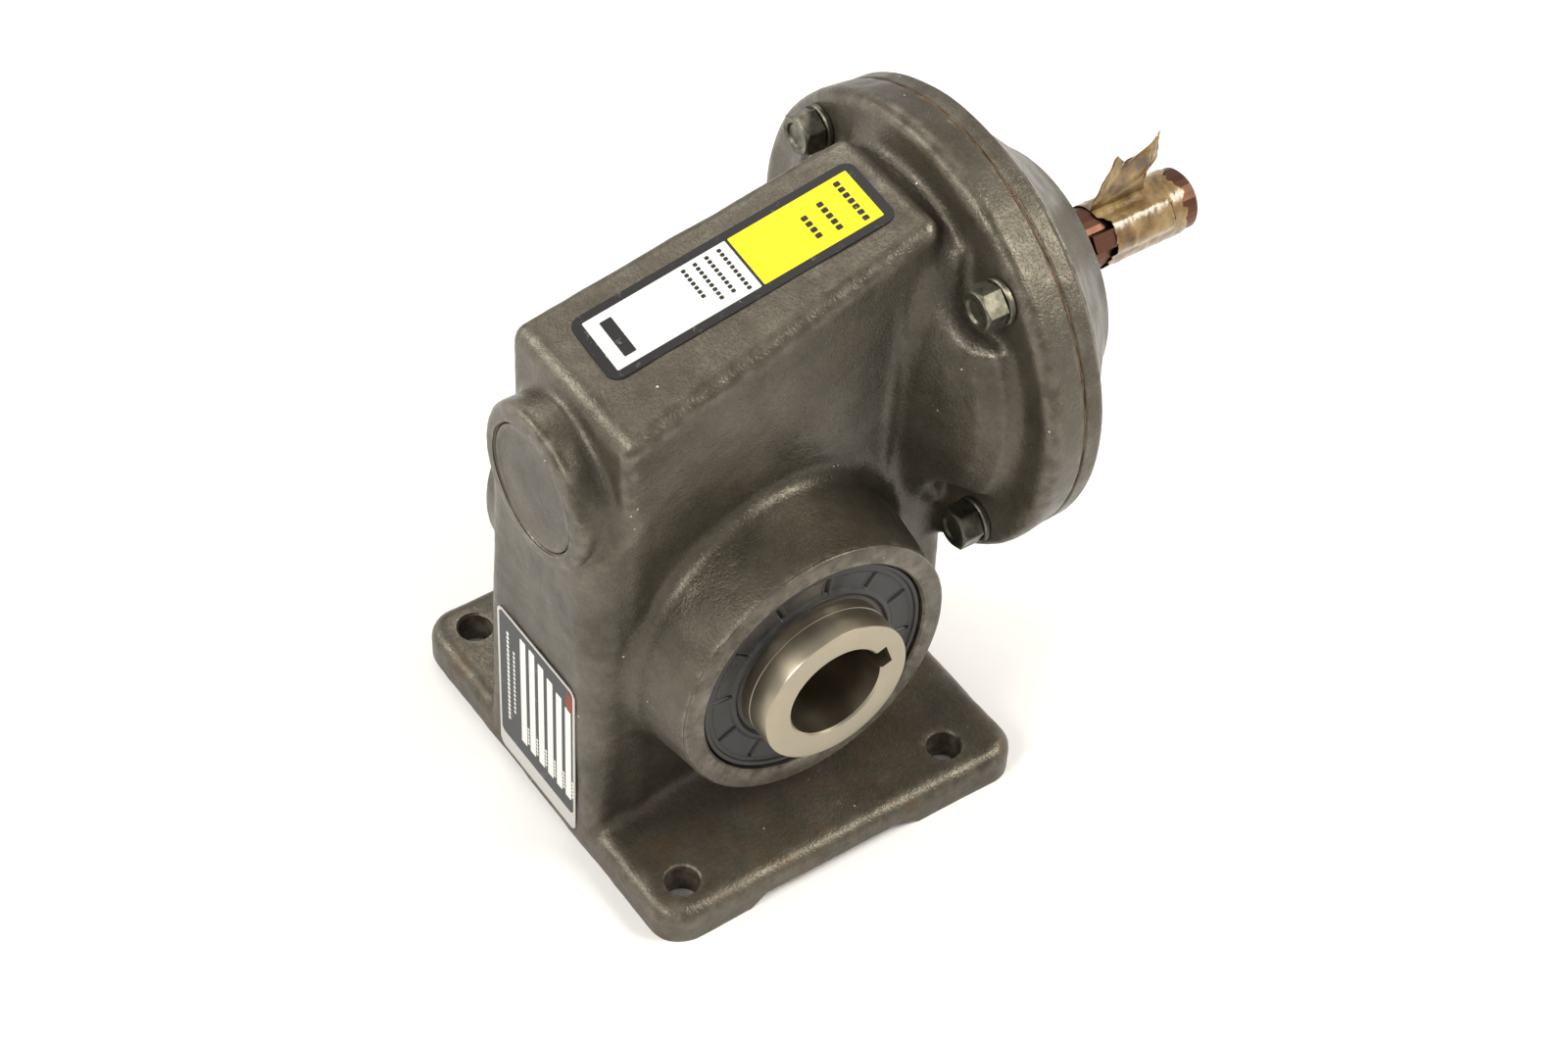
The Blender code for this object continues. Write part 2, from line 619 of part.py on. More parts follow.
def main():
    for thing in list(bpy.data.objects):
        bpy.data.objects.remove(thing)

    paint = material("painted_casting", (0.10, 0.088, 0.072), 0.42, 0.0)
    steel = material("turned_steel", (0.55, 0.53, 0.49), 0.28, 1.0)
    zinc = material("plated_fastener", (0.19, 0.19, 0.17), 0.42, 1.0)
    bronze = material("bronze", (0.62, 0.40, 0.16), 0.35, 1.0)
    rubber = material("seal_rubber", (0.02, 0.023, 0.028), 0.5, 0.0)
    bearing_steel = material("bearing_steel", (0.6, 0.6, 0.6), 0.2, 1.0)
    fibre = material("gasket_fibre", (0.09, 0.055, 0.03), 0.8, 0.0)
    plate = material("plate_metal", (0.5, 0.5, 0.48), 0.35, 1.0)
    sticker = material("sticker", (0.8, 0.8, 0.1), 0.4, 0.0)
    paper = material("waxed_paper", (0.5, 0.33, 0.12), 0.4, 0.0)

    output = (0, 0, OUTPUT_Z)
    worm = (0, 0, WORM_Z)
    housing(paint)
    input_cover(paint)
    gasket(fibre)
    for k, (x, z) in enumerate(bolt_places(), start=1):
        flange_bolt(f"flange_bolt_{k}", x, z, zinc)
        washer = [(BOLT_R + 0.3, SEAT_Y - 1.6), (5.8, SEAT_Y - 1.6), (5.8, SEAT_Y - 0.1),
                  (BOLT_R + 0.3, SEAT_Y - 0.1)]
        turned(f"flange_washer_{k}", "Y", (x, 0, z), washer, zinc, SMALL, ring=True)
    cap = [(CAP_R - 0.7, CAP_Y + 0.1), (CAP_R - 0.1, CAP_Y + 0.7), (CAP_R - 0.1, -46.4),
           (CAP_R - 1.6, -46.4), (CAP_R - 1.6, -48.6)]
    turned("worm_end_cap", "Y", worm, cap, paint, MEDIUM)
    nameplate(plate)
    oil_label(sticker)
    hex_plug("fill_plug", "X", FILL_PLUG, -body_half_width(FILL_PLUG[1] - PLUG_COLLAR_R), -1, zinc)
    hex_plug("drain_plug", "Y", DRAIN_PLUG, BODY_Y1, 1, zinc)

    output_shaft(steel)
    worm_wheel(bronze)
    key_box("wheel_key", output, math.pi, 5.8, 17.2, 23.2, -9.0, 9.0, "X", steel)
    for label, side in (("right", 1), ("left", -1)):
        output_seal(f"output_seal_{label}", side, rubber)
        start, end = sorted((side * 20.0, side * 32.0))
        bearing(f"output_bearing_{label}", "X", output, start, end, (SEAT_R + GAP, 23.2, 28.0, 30.8), 7,
                bearing_steel)
        start, end = sorted((side * 32.6, side * 34.0))
        circlip(f"output_circlip_{label}", "X", output, 28.4, 32.0, start, end, steel)
        spacer = [(SEAT_R + GAP, side * 10.4), (23.0, side * 10.4), (23.0, side * 19.6),
                  (SEAT_R + GAP, side * 19.6)]
        turned(f"wheel_spacer_{label}", "X", output, spacer, steel, MEDIUM, ring=True)

    worm_shaft(steel)
    bearing("rear_bearing", "Y", worm, -44.0, -34.6, (6.2, 8.6, 13.2, 16.0), 7, bearing_steel)
    bearing("front_bearing", "Y", worm, 67.2, 81.2, (10.2, 13.6, 20.0, 23.4), 7, bearing_steel)
    circlip("front_circlip", "Y", worm, 20.6, 24.6, 65.0, 66.4, steel)
    seal = [(17.4, 83.9), (17.4, 91.1), (15.8, 91.1), (15.0, 90.2), (11.0, 90.2), (8.3, 90.6), (11.0, 83.9)]
    turned("input_seal", "Y", worm, seal, rubber, MEDIUM, ring=True)
    key_box("input_key", worm, INPUT_KEY_ANGLE, INPUT_KEY_W - 0.2, 5.6, INPUT_KEY_R, INPUT_KEY_Y[0] + GAP,
            INPUT_KEY_Y[1] - GAP, "Y", steel)
    shaft_wrap(paper)

    hang("output_axis", output, ("output_shaft", "worm_wheel", "wheel_key", "wheel_spacer_right",
                                 "wheel_spacer_left", "output_bearing_right_inner",
                                 "output_bearing_left_inner"))
    hang("worm_axis", worm, ("worm_shaft", "rear_bearing_inner", "front_bearing_inner", "input_key",
                             "shaft_wrap"))


main()
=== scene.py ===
"""Looks of the worm gearbox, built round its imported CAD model.

The frame is the CAD's: X along the output shaft, Y along the worm shaft, Z up, origin between the
foot's holes. Shapes are worked out in millimetres and turned to metres when a mesh is made.
"""

import math

import bmesh
import bpy
import numpy as np
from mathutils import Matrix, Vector


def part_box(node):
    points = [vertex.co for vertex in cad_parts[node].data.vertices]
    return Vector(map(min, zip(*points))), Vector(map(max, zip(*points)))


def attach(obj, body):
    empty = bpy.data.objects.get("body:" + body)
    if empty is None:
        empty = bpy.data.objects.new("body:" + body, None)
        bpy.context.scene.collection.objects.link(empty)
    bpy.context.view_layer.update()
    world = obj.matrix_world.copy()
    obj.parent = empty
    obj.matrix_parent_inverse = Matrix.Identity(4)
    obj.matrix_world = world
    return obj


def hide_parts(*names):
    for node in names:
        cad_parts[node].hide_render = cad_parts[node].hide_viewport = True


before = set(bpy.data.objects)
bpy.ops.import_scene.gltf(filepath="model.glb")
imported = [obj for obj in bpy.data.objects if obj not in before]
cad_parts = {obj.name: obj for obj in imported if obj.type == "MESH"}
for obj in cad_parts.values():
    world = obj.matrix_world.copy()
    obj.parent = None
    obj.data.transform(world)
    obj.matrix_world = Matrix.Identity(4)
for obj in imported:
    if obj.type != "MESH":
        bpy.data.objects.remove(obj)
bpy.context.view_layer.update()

MM = 0.001
SEED = 11


def corners(node):
    """A CAD node's lowest and highest corners, in millimetres."""
    low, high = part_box(node)
    return [c / MM for c in low], [c / MM for c in high]


# Sizes taken from the frame
case_low, case_high = corners("housing")
hub_low, hub_high = corners("output_shaft")
cover_low, cover_high = corners("input_cover")
cap_low, cap_high = corners("worm_end_cap")
seal_low, seal_high = corners("output_seal_right")
washer_low, washer_high = corners("flange_washer_1")
bolt_low, _ = corners("flange_bolt_1")
plate_low, plate_high = corners("nameplate")
label_low, label_high = corners("oil_label")
gasket_low, gasket_high = corners("cover_gasket")

OUTPUT_Z = (hub_low[2] + hub_high[2]) / 2
WORM_Z = (cap_low[2] + cap_high[2]) / 2
FOOT_X = case_high[0]
CAP_FACE_Y = case_low[1]
CAP_R = (cap_high[2] - cap_low[2]) / 2
HUB_X = hub_high[0]
HUB_R = (hub_high[2] - hub_low[2]) / 2
SEAL_R = (seal_high[2] - seal_low[2]) / 2
FLANGE_R = (cover_high[2] - cover_low[2]) / 2
COVER_FACE_Y = cover_high[1]
WASHER_R = (washer_high[0] - washer_low[0]) / 2
WASHER_Y = (washer_low[1], washer_high[1])
BOLT_HEAD_Y = bolt_low[1]
BOLT_OFFSET = (washer_high[0] + washer_low[0]) / 2

# The casting
FOOT_Y0 = -49.5
FOOT_Y1 = 56.0
FOOT_TOP = 9.6
FOOT_CORNER = 8.6
HOLE_X = 48.0
HOLE_Y = 38.9
HOLE_R = 4.4
BODY_X = 24.5
BODY_TAPER = 5.3 / 86.0
BODY_Y0 = -49.6
BODY_Y1 = 58.0
NECK_Y = 47.5
UPPER_Y0 = -40.6
SHOULDER_Z = 101.0
SHOULDER_TOP = 114.0
FRONT_SLANT = 1.15
SLANT_Z = 60.0
TOP_Z = 136.3
TOP_Y = -38.0
TOP_SLOPE = 0.25
BOSS_R_ROOT = 39.0
BOSS_R_FACE = 36.8
BOSS_X = 44.4
CAP_BOSS_R = 20.9
SEAT_Y = 52.2
FLANGE_Y = 62.9
BORE_R = 12.7
KEYWAY_ANGLE = math.radians(18.7)
KEYWAY_W = 6.4
KEYWAY_R = 15.5
INPUT_R = 7.9
INPUT_KEY_ANGLE = math.radians(35)

CELL = 1.0      # grid of the casting's surface


# Mesh helpers

def make(name, points, faces, finish, sharp=32):
    """A mesh object from points in millimetres, smooth except at sharp edges."""
    mesh = bpy.data.meshes.new(name)
    mesh.from_pydata((np.asarray(points, dtype=float) * MM).tolist(), [], [list(f) for f in faces])
    mesh.validate()
    for one in (finish if isinstance(finish, (list, tuple)) else [finish]):
        if one is not None:
            mesh.materials.append(one)
    thing = bpy.data.objects.new(name, mesh)
    bpy.context.scene.collection.objects.link(thing)
    outwards(thing, sharp)
    return thing


def outwards(thing, sharp=32):
    build = bmesh.new()
    build.from_mesh(thing.data)
    bmesh.ops.recalc_face_normals(build, faces=build.faces)
    if build.calc_volume(signed=True) < 0:
        bmesh.ops.reverse_faces(build, faces=build.faces)
    build.to_mesh(thing.data)
    build.free()
    thing.data.shade_smooth()
    thing.data.set_sharp_from_angle(angle=math.radians(sharp))


def place(axis, centre, r, t, turn):
    """The point at radius r and angle turn round an axis, t along it."""
    a = r * math.cos(turn)
    b = r * math.sin(turn)
    if axis == "X":
        return (t, centre[1] + a, centre[2] + b)
    if axis == "Y":
        return (centre[0] + a, t, centre[2] + b)
    return (centre[0] + a, centre[1] + b, t)


def turned(name, axis, centre, profile, finish, count=128, ring=False, shape=None):
    """A lathe-turned solid from (radius, place) points; shape(r, t, turn) may move each point."""
    points = []
    for r, t in profile:
        for k in range(count):
            turn = 2 * math.pi * k / count
            rr, tt = shape(r, t, turn) if shape else (r, t)
            points.append(place(axis, centre, rr, tt, turn))
    rows = [list(range(k * count, (k + 1) * count)) for k in range(len(profile))]
    pairs = list(zip(rows, rows[1:]))
    faces = []
    if ring:
        pairs.append((rows[-1], rows[0]))
    else:
        faces += [rows[0], rows[-1]]
    for low, high in pairs:
        for k in range(count):
            n = (k + 1) % count
            faces.append([low[k], low[n], high[n], high[k]])
    return make(name, points, faces, finish)


def arc(centre, radius, start, end, steps=6):
    """Points of an arc in a profile, angles in degrees."""
    turns = [math.radians(start + (end - start) * k / steps) for k in range(steps + 1)]
    return [(centre[0] + radius * math.cos(t), centre[1] + radius * math.sin(t)) for t in turns]


def lofted(name, loops, finish):
    """A solid through loops of equal length."""
    count = len(loops[0])
    points = [p for loop in loops for p in loop]
    faces = [list(range(count)), list(range(len(points) - count, len(points)))]
    for row in range(len(loops) - 1):
        base = row * count
        for k in range(count):
            n = (k + 1) % count
            faces.append([base + k, base + n, base + count + n, base + count + k])
    return make(name, points, faces, finish)


def bar(name, centre, turn, width, r0, r1, start, end, axis, finish=None):
    """A bar lying along an axis, at an angle round it."""
    side = width / 2
    loops = []
    for t in (start, end):
        loop = []
        for r, s in ((r0, -side), (r1, -side), (r1, side), (r0, side)):
            spot = place(axis, centre, math.hypot(r, s), t, turn + math.atan2(s, r))
            loop.append(spot)
        loops.append(loop)
    return lofted(name, loops, finish)


def block(low, high):
    """A plain box, used to cut."""
    loops = [[(low[0], low[1], z), (high[0], low[1], z), (high[0], high[1], z), (low[0], high[1], z)]
             for z in (low[2], high[2])]
    return lofted("cutter", loops, None)


def cut(target, cutters, sharp=32):
    """Subtract closed shapes for good, and remove them."""
    for cutter in cutters:
        step = target.modifiers.new("cut", "BOOLEAN")
        step.operation = "DIFFERENCE"
        step.solver = "MANIFOLD"
        step.object = cutter
    mesh = bpy.data.meshes.new_from_object(target.evaluated_get(bpy.context.evaluated_depsgraph_get()))
    target.modifiers.clear()
    target.data = mesh
    for cutter in cutters:
        bpy.data.objects.remove(cutter)
    mesh.shade_smooth()
    mesh.set_sharp_from_angle(angle=math.radians(sharp))
    return target


# Rounded distance shapes, after the usual signed distance formulas

def join(a, b, r):
    """Union with a concave fillet of radius r."""
    return np.maximum(r, np.minimum(a, b)) - np.hypot(np.maximum(r - a, 0), np.maximum(r - b, 0))


def common(a, b, r):
    """Intersection with its edge rounded to radius r."""
    return np.minimum(-r, np.maximum(a, b)) + np.hypot(np.maximum(r + a, 0), np.maximum(r + b, 0))


def foot_distance(x, y, z):
    half_y = (FOOT_Y1 - FOOT_Y0) / 2
    across = np.abs(x) - (FOOT_X - FOOT_CORNER)
    along = np.abs(y - (FOOT_Y0 + FOOT_Y1) / 2) - (half_y - FOOT_CORNER)
    outline = np.hypot(np.maximum(across, 0), np.maximum(along, 0))
    outline = outline + np.minimum(np.maximum(across, along), 0)
    return np.maximum(common(outline - FOOT_CORNER, z - FOOT_TOP, 4.4), -z - 2.0)


def body_distance(x, y, z):
    """The tapering body: its cap-end wall steps back above a shoulder, its top slopes up to the neck."""
    side = (np.abs(x) - (BODY_X - BODY_TAPER * (y + 40.0))) / math.hypot(1, BODY_TAPER)
    top = (z - TOP_Z - TOP_SLOPE * (y - TOP_Y)) / math.hypot(1, TOP_SLOPE)
    corner = np.clip(4.0 + 0.07 * z, 4.5, 10.5)
    shoulder = np.maximum((z - SHOULDER_Z) * 0.64 - (y - BODY_Y0) * 0.77, z - SHOULDER_TOP)
    stout = common(common(common(side, BODY_Y0 - y, corner), y - NECK_Y, 4.0), shoulder, 5.0)
    slim = common(common(common(side, UPPER_Y0 - y, 3.2), y - NECK_Y, 4.0), top, 4.2)
    upper = join(stout, slim, 2.0 * np.clip((-32.0 - y) / 4.0, 0.02, 1.0))
    slant = ((y - BODY_Y1) * FRONT_SLANT + (z - SLANT_Z)) / math.hypot(1, FRONT_SLANT)
    lower = np.maximum(common(common(side, y - BODY_Y1, 5.0), slant, 4.0), NECK_Y - 12.0 - y)
    return np.maximum(np.minimum(upper, lower), 1.0 - z)


FLARE = ((-10.0, 33.0), (20.0, 36.5), (27.0, 38.8), (34.0, 41.6), (40.5, 45.0), (45.5, 49.0), (48.0, 53.6),
         (48.2, 70.0))


def flange_distance(x, y, z):
    """The flared neck with its scallops, joined to the flange."""
    up = z - WORM_Z
    reach = np.hypot(x, up)
    radii = np.array([p[0] for p in FLARE])
    places = np.array([p[1] for p in FLARE])
    slopes = np.gradient(radii, places)
    flare = (reach - np.interp(y, places, radii)) / np.hypot(1, np.interp(y, places, slopes))
    scoop = np.hypot(np.abs(x) - BOLT_OFFSET, np.abs(up) - BOLT_OFFSET) - 11.8
    neck = np.maximum(common(flare, -scoop, 3.0), y - FLANGE_Y)
    rim = (reach - FLANGE_R - (FLANGE_Y - y) * 0.12) / math.hypot(1, 0.12)
    disc = np.maximum(common(rim, SEAT_Y - y, 3.6), y - FLANGE_Y - 1.5)
    return join(neck, disc, 2.4)


def casting_distance(x, y, z):
    """Distance to the housing's skin, with its machined faces left long so that they can be cut flat."""
    fillet = 4.5 * np.clip(np.minimum(y - FOOT_Y0, FOOT_Y1 - y) / 7.0, 0.02, 1.0)
    whole = join(foot_distance(x, y, z), body_distance(x, y, z), fillet)
    reach = np.hypot(y, z - OUTPUT_Z)
    grow = (BOSS_R_ROOT - BOSS_R_FACE) / (BOSS_X - 27.0)
    boss = (reach - BOSS_R_FACE - (BOSS_X - np.abs(x)) * grow) / math.hypot(1, grow)
    whole = join(whole, np.maximum(boss, np.abs(x) - BOSS_X - 1.5), 4.0)
    cap = common(np.hypot(x, z - WORM_Z) - CAP_BOSS_R, CAP_FACE_Y - y, 2.2)
    whole = join(whole, np.maximum(cap, y + 20.0), 2.6 * np.clip((y + 48.5) / 5.0, 0.02, 1.0))
    return join(whole, flange_distance(x, y, z), 4.5)


def ripple(points, seed, waves, wavelength, height):
    """A soft unevenness: a sum of plane waves in random directions."""
    random = np.random.default_rng(seed)
    total = np.zeros(len(points))
    for _ in range(waves):
        way = random.normal(size=3)
        way *= 2 * math.pi / (np.linalg.norm(way) * wavelength * random.uniform(0.7, 1.5))
        total += np.sin(points @ way + random.uniform(0, 2 * math.pi))
    return total * height / math.sqrt(waves)


def surface_net(distance, low, high, cell):
    """Quads over the zero surface of a distance function: one point in each grid cell that it crosses."""
    axes = [np.arange(low[k], high[k] + cell, cell) for k in range(3)]
    inside = np.empty([len(a) for a in axes], bool)
    yy, zz = np.meshgrid(axes[1], axes[2], indexing="ij")
    for i, x in enumerate(axes[0]):
        inside[i] = distance(np.full_like(yy, x), yy, zz) < 0
    count = np.zeros([len(a) - 1 for a in axes], np.int8)
    for a in (0, 1):
        for b in (0, 1):
            for c in (0, 1):
                count += inside[a:a + count.shape[0], b:b + count.shape[1], c:c + count.shape[2]]
    active = (count > 0) & (count < 8)
    index = np.full(active.shape, -1, np.int64)
    index[active] = np.arange(active.sum())
    points = np.argwhere(active) * cell + np.array(low) + cell / 2
    quads = []
    for axis in range(3):
        moved = np.moveaxis(inside, axis, 0)
        cells = np.moveaxis(index, axis, 0)
        flips = moved[:-1, 1:-1, 1:-1] != moved[1:, 1:-1, 1:-1]
        i, j, k = np.nonzero(flips)
        ring = [cells[i, j, k], cells[i, j + 1, k], cells[i, j + 1, k + 1], cells[i, j, k + 1]]
        quad = np.stack(ring, 1)
        back = moved[i + 1, j + 1, k + 1]
        if axis == 1:
            back = ~back
        quad[back] = quad[back][:, ::-1]
        quads.append(quad)
    return points, np.concatenate(quads)


def settle(points, quads, distance, rounds=3):
    """Even the points out along the surface and bring them onto it; also gives their normals."""
    edges = np.concatenate([quads[:, [k, (k + 1) % 4]] for k in range(4)])
    total = np.bincount(edges[:, 0], minlength=len(points)).astype(float)

    def project(where, times):
        normal = None
        step = 0.02
        for _ in range(times):
            here = distance(*where.T)
            ahead = [distance(*(where + step * way).T) - here for way in np.eye(3)]
            slope = np.stack(ahead, 1) / step
            size = np.maximum(np.linalg.norm(slope, axis=1, keepdims=True), 0.3)
            normal = slope / size
            where = where - normal * np.clip(here[:, None] / size, -2.0, 2.0)
        return where, normal

    points, normal = project(points, 4)
    for _ in range(rounds):
        mean = np.stack([np.bincount(edges[:, 0], points[edges[:, 1], k], len(points))
                         for k in range(3)], 1)
        mean /= total[:, None]
        shift = (mean - points) * 0.6
        shift -= normal * (shift * normal).sum(1, keepdims=True)
        points, normal = project(points + shift, 2)
    return points, normal


# Materials

def node(tree, kind, values=None, **settings):
    """A shader node with its settings and input values; a value that is a socket is linked."""
    made = tree.nodes.new(kind)
    for key, value in settings.items():
        setattr(made, key, value)
    for key, value in (values or {}).items():
        if isinstance(value, bpy.types.NodeSocket):
            tree.links.new(value, made.inputs[key])
        else:
            made.inputs[key].default_value = value
    return made


def blank(name):
    """A Principled material; gives the material, its tree, its shader and object coordinates."""
    made = bpy.data.materials.new(name)
    made.use_nodes = True
    tree = made.node_tree
    shader = tree.nodes["Principled BSDF"]
    where = node(tree, "ShaderNodeTexCoord").outputs["Object"]
    return made, tree, shader, where


def noise(tree, where, scale, detail=3.0, roughness=0.55):
    made = node(tree, "ShaderNodeTexNoise", {"Vector": where, "Scale": scale, "Detail": detail,
                                             "Roughness": roughness})
    return made.outputs["Fac"]


def ramp(tree, value, stops):
    """A colour ramp; stops are (place, colour or grey)."""
    made = node(tree, "ShaderNodeValToRGB", {"Fac": value})
    elements = made.color_ramp.elements
    while len(elements) < len(stops):
        elements.new(0.5)
    for element, (spot, colour) in zip(elements, stops):
        shade = colour if isinstance(colour, (list, tuple)) else (colour, colour, colour)
        element.position = spot
        element.color = (*shade, 1.0)
    return made.outputs["Color"]


def mix(tree, factor, first, second, kind="MIX"):
    made = tree.nodes.new("ShaderNodeMix")
    made.data_type = "RGBA"
    made.blend_type = kind
    for socket, value in ((made.inputs[0], factor), (made.inputs[6], first), (made.inputs[7], second)):
        if isinstance(value, bpy.types.NodeSocket):
            tree.links.new(value, socket)
        elif socket.type == "RGBA":
            socket.default_value = (*value, 1.0)
        else:
            socket.default_value = value
    return made.outputs[2]


def maths(tree, operation, first, second=0.0):
    made = tree.nodes.new("ShaderNodeMath")
    made.operation = operation
    for socket, value in zip(made.inputs, (first, second)):
        if isinstance(value, bpy.types.NodeSocket):
            tree.links.new(value, socket)
        else:
            socket.default_value = value
    return made.outputs[0]


def bump(tree, height, distance, strength=1.0, base=None):
    values = {"Height": height, "Distance": distance, "Strength": strength}
    if base is not None:
        values["Normal"] = base
    return node(tree, "ShaderNodeBump", values).outputs["Normal"]


def paint_material():
    """Satin olive-grey paint on a sand casting: mottled, pitted, paler on convex edges as partly real wear
    and partly a painted highlight, with grime.
    """
    made, tree, shader, where = blank("painted_casting_look")
    blotch = noise(tree, where, 45.0, 5.0)
    colour = ramp(tree, blotch, ((0.32, (0.066, 0.057, 0.038)), (0.5, (0.096, 0.083, 0.059)),
                                 (0.68, (0.128, 0.113, 0.086))))
    grain = noise(tree, where, 900.0, 3.0)
    colour = mix(tree, 0.35, colour, ramp(tree, grain, ((0.3, 0.05), (0.7, 0.30))), "OVERLAY")
    # Convex edges (pointiness) are mixed toward a warm pale colour: partly real wear, partly a painted
    # highlight where the rounded edges catch light.
    sharpness = node(tree, "ShaderNodeNewGeometry").outputs["Pointiness"]
    edge = ramp(tree, sharpness, ((0.5, 0.0), (0.56, 1.0)))
    patchy = ramp(tree, noise(tree, where, 260.0, 4.0), ((0.4, 0.0), (0.62, 1.0)))
    worn = maths(tree, "MULTIPLY", maths(tree, "MULTIPLY", edge, patchy), 0.5)
    colour = mix(tree, worn, colour, (0.36, 0.32, 0.26))
    split = node(tree, "ShaderNodeSeparateXYZ", {"Vector": where})
    low = ramp(tree, split.outputs["Z"], ((0.008, 1.0), (0.016, 0.0)))
    stain = ramp(tree, noise(tree, where, 120.0, 6.0, 0.7), ((0.5, 0.0), (0.66, 1.0)))
    rust = maths(tree, "MULTIPLY", maths(tree, "MULTIPLY", low, stain), 0.55)
    colour = mix(tree, rust, colour, (0.115, 0.066, 0.032))
    specks = node(tree, "ShaderNodeTexVoronoi", {"Vector": where, "Scale": 260.0}).outputs["Distance"]
    dots = maths(tree, "LESS_THAN", specks, 0.07)
    scarce = maths(tree, "GREATER_THAN", noise(tree, where, 70.0, 2.0), 0.60)
    colour = mix(tree, maths(tree, "MULTIPLY", maths(tree, "MULTIPLY", dots, scarce), 0.75), colour,
                 (0.62, 0.60, 0.54))
    tree.links.new(colour, shader.inputs["Base Color"])
    shader.inputs["Metallic"].default_value = 0.5
    gloss = ramp(tree, noise(tree, where, 160.0, 4.0), ((0.3, 0.30), (0.7, 0.46)))
    tree.links.new(gloss, shader.inputs["Roughness"])
    sand = bump(tree, noise(tree, where, 420.0, 4.0, 0.6), 0.00022, 0.55)
    pits = ramp(tree, noise(tree, where, 1300.0, 2.0), ((0.34, 0.0), (0.5, 1.0)))
    tree.links.new(bump(tree, pits, 0.00009, 0.5, sand), shader.inputs["Normal"])
    return made


def metal_material(name, colour, roughness, lines, centre_z, axis, tint=(0.5, 0.42, 0.3)):
    """Bare metal with fine turning lines: rings round an axis on its faces, hoops along its sides."""
    made, tree, shader, where = blank(name)
    split = node(tree, "ShaderNodeSeparateXYZ", {"Vector": where})
    up = maths(tree, "SUBTRACT", split.outputs["Z"], centre_z * MM)
    across = split.outputs["Y"] if axis == "X" else split.outputs["X"]
    along = split.outputs["X"] if axis == "X" else split.outputs["Y"]
    reach = maths(tree, "SQRT", maths(tree, "ADD", maths(tree, "MULTIPLY", up, up),
                                      maths(tree, "MULTIPLY", across, across)))
    track = node(tree, "ShaderNodeCombineXYZ", {"X": maths(tree, "MULTIPLY", reach, lines),
                                                "Y": maths(tree, "MULTIPLY", along, lines)})
    hoops = noise(tree, track.outputs["Vector"], 1.0, 2.0)
    smear = noise(tree, where, 90.0, 4.0)
    colour_out = mix(tree, ramp(tree, smear, ((0.45, 0.0), (0.75, 0.5))), colour, tint)
    tree.links.new(colour_out, shader.inputs["Base Color"])
    shader.inputs["Metallic"].default_value = 1.0
    rough = ramp(tree, smear, ((0.3, roughness), (0.8, min(1.0, roughness + 0.16))))
    tree.links.new(rough, shader.inputs["Roughness"])
    tree.links.new(bump(tree, hoops, 0.00003, 0.6), shader.inputs["Normal"])
    return made


def rubber_material():
    """Satin black rubber with a trace of dry dust."""
    made, tree, shader, where = blank("seal_rubber_look")
    dust = noise(tree, where, 200.0, 5.0)
    tree.links.new(ramp(tree, dust, ((0.4, (0.009, 0.010, 0.012)), (0.8, (0.040, 0.038, 0.033)))),
                   shader.inputs["Base Color"])
    tree.links.new(ramp(tree, dust, ((0.3, 0.38), (0.8, 0.6))), shader.inputs["Roughness"])
    tree.links.new(bump(tree, noise(tree, where, 1500.0, 2.0), 0.00003, 0.4), shader.inputs["Normal"])
    return made


def zinc_material():
    """Dull olive zinc plate with random patches of dark grease."""
    made, tree, shader, where = blank("plated_fastener_look")
    patches = noise(tree, where, 300.0, 5.0, 0.65)
    tree.links.new(ramp(tree, patches, ((0.3, (0.045, 0.043, 0.032)), (0.5, (0.12, 0.115, 0.088)),
                                        (0.75, (0.22, 0.21, 0.165)))), shader.inputs["Base Color"])
    shader.inputs["Metallic"].default_value = 0.9
    tree.links.new(ramp(tree, patches, ((0.3, 0.5), (0.75, 0.3))), shader.inputs["Roughness"])
    tree.links.new(bump(tree, noise(tree, where, 1100.0, 3.0), 0.00004, 0.5), shader.inputs["Normal"])
    return made


def print_material(name, colour, roughness, metallic=0.0, scuff=(0.3, 0.28, 0.24)):
    """Printed ink or sheet, with faint scuffs."""
    made, tree, shader, where = blank(name)
    marks = ramp(tree, noise(tree, where, 330.0, 6.0, 0.75), ((0.60, 0.0), (0.72, 0.7)))
    tree.links.new(mix(tree, marks, colour, scuff), shader.inputs["Base Color"])
    shader.inputs["Roughness"].default_value = roughness
    shader.inputs["Metallic"].default_value = metallic
    shader.inputs["Specular IOR Level"].default_value = 0.15
    tree.links.new(bump(tree, noise(tree, where, 500.0, 2.0), 0.00002, 0.4), shader.inputs["Normal"])
    return made


def paper_material():
    """Golden waxed paper: glossy, stained brown, finely crumpled."""
    made, tree, shader, where = blank("waxed_paper_look")
    stain = noise(tree, where, 130.0, 6.0, 0.6)
    tree.links.new(ramp(tree, stain, ((0.34, (0.065, 0.032, 0.010)), (0.48, (0.20, 0.120, 0.038)),
                                      (0.66, (0.36, 0.25, 0.105)))), shader.inputs["Base Color"])
    shader.inputs["Roughness"].default_value = 0.3
    shader.inputs["Coat Weight"].default_value = 0.5
    shader.inputs["Coat Roughness"].default_value = 0.15
    creases = node(tree, "ShaderNodeTexVoronoi", {"Vector": where, "Scale": 420.0}).outputs["Distance"]
    soft = bump(tree, noise(tree, where, 260.0, 4.0), 0.0004, 0.6)
    tree.links.new(bump(tree, creases, 0.00015, 0.4, soft), shader.inputs["Normal"])
    return made


def fibre_material():
    made, tree, shader, where = blank("gasket_fibre_look")
    browns = ramp(tree, noise(tree, where, 400.0, 4.0),
                  ((0.3, (0.05, 0.026, 0.012)), (0.7, (0.16, 0.09, 0.04))))
    tree.links.new(browns, shader.inputs["Base Color"])
    shader.inputs["Roughness"].default_value = 0.8
    tree.links.new(bump(tree, noise(tree, where, 1500.0, 2.0), 0.00008, 0.6), shader.inputs["Normal"])
    return made


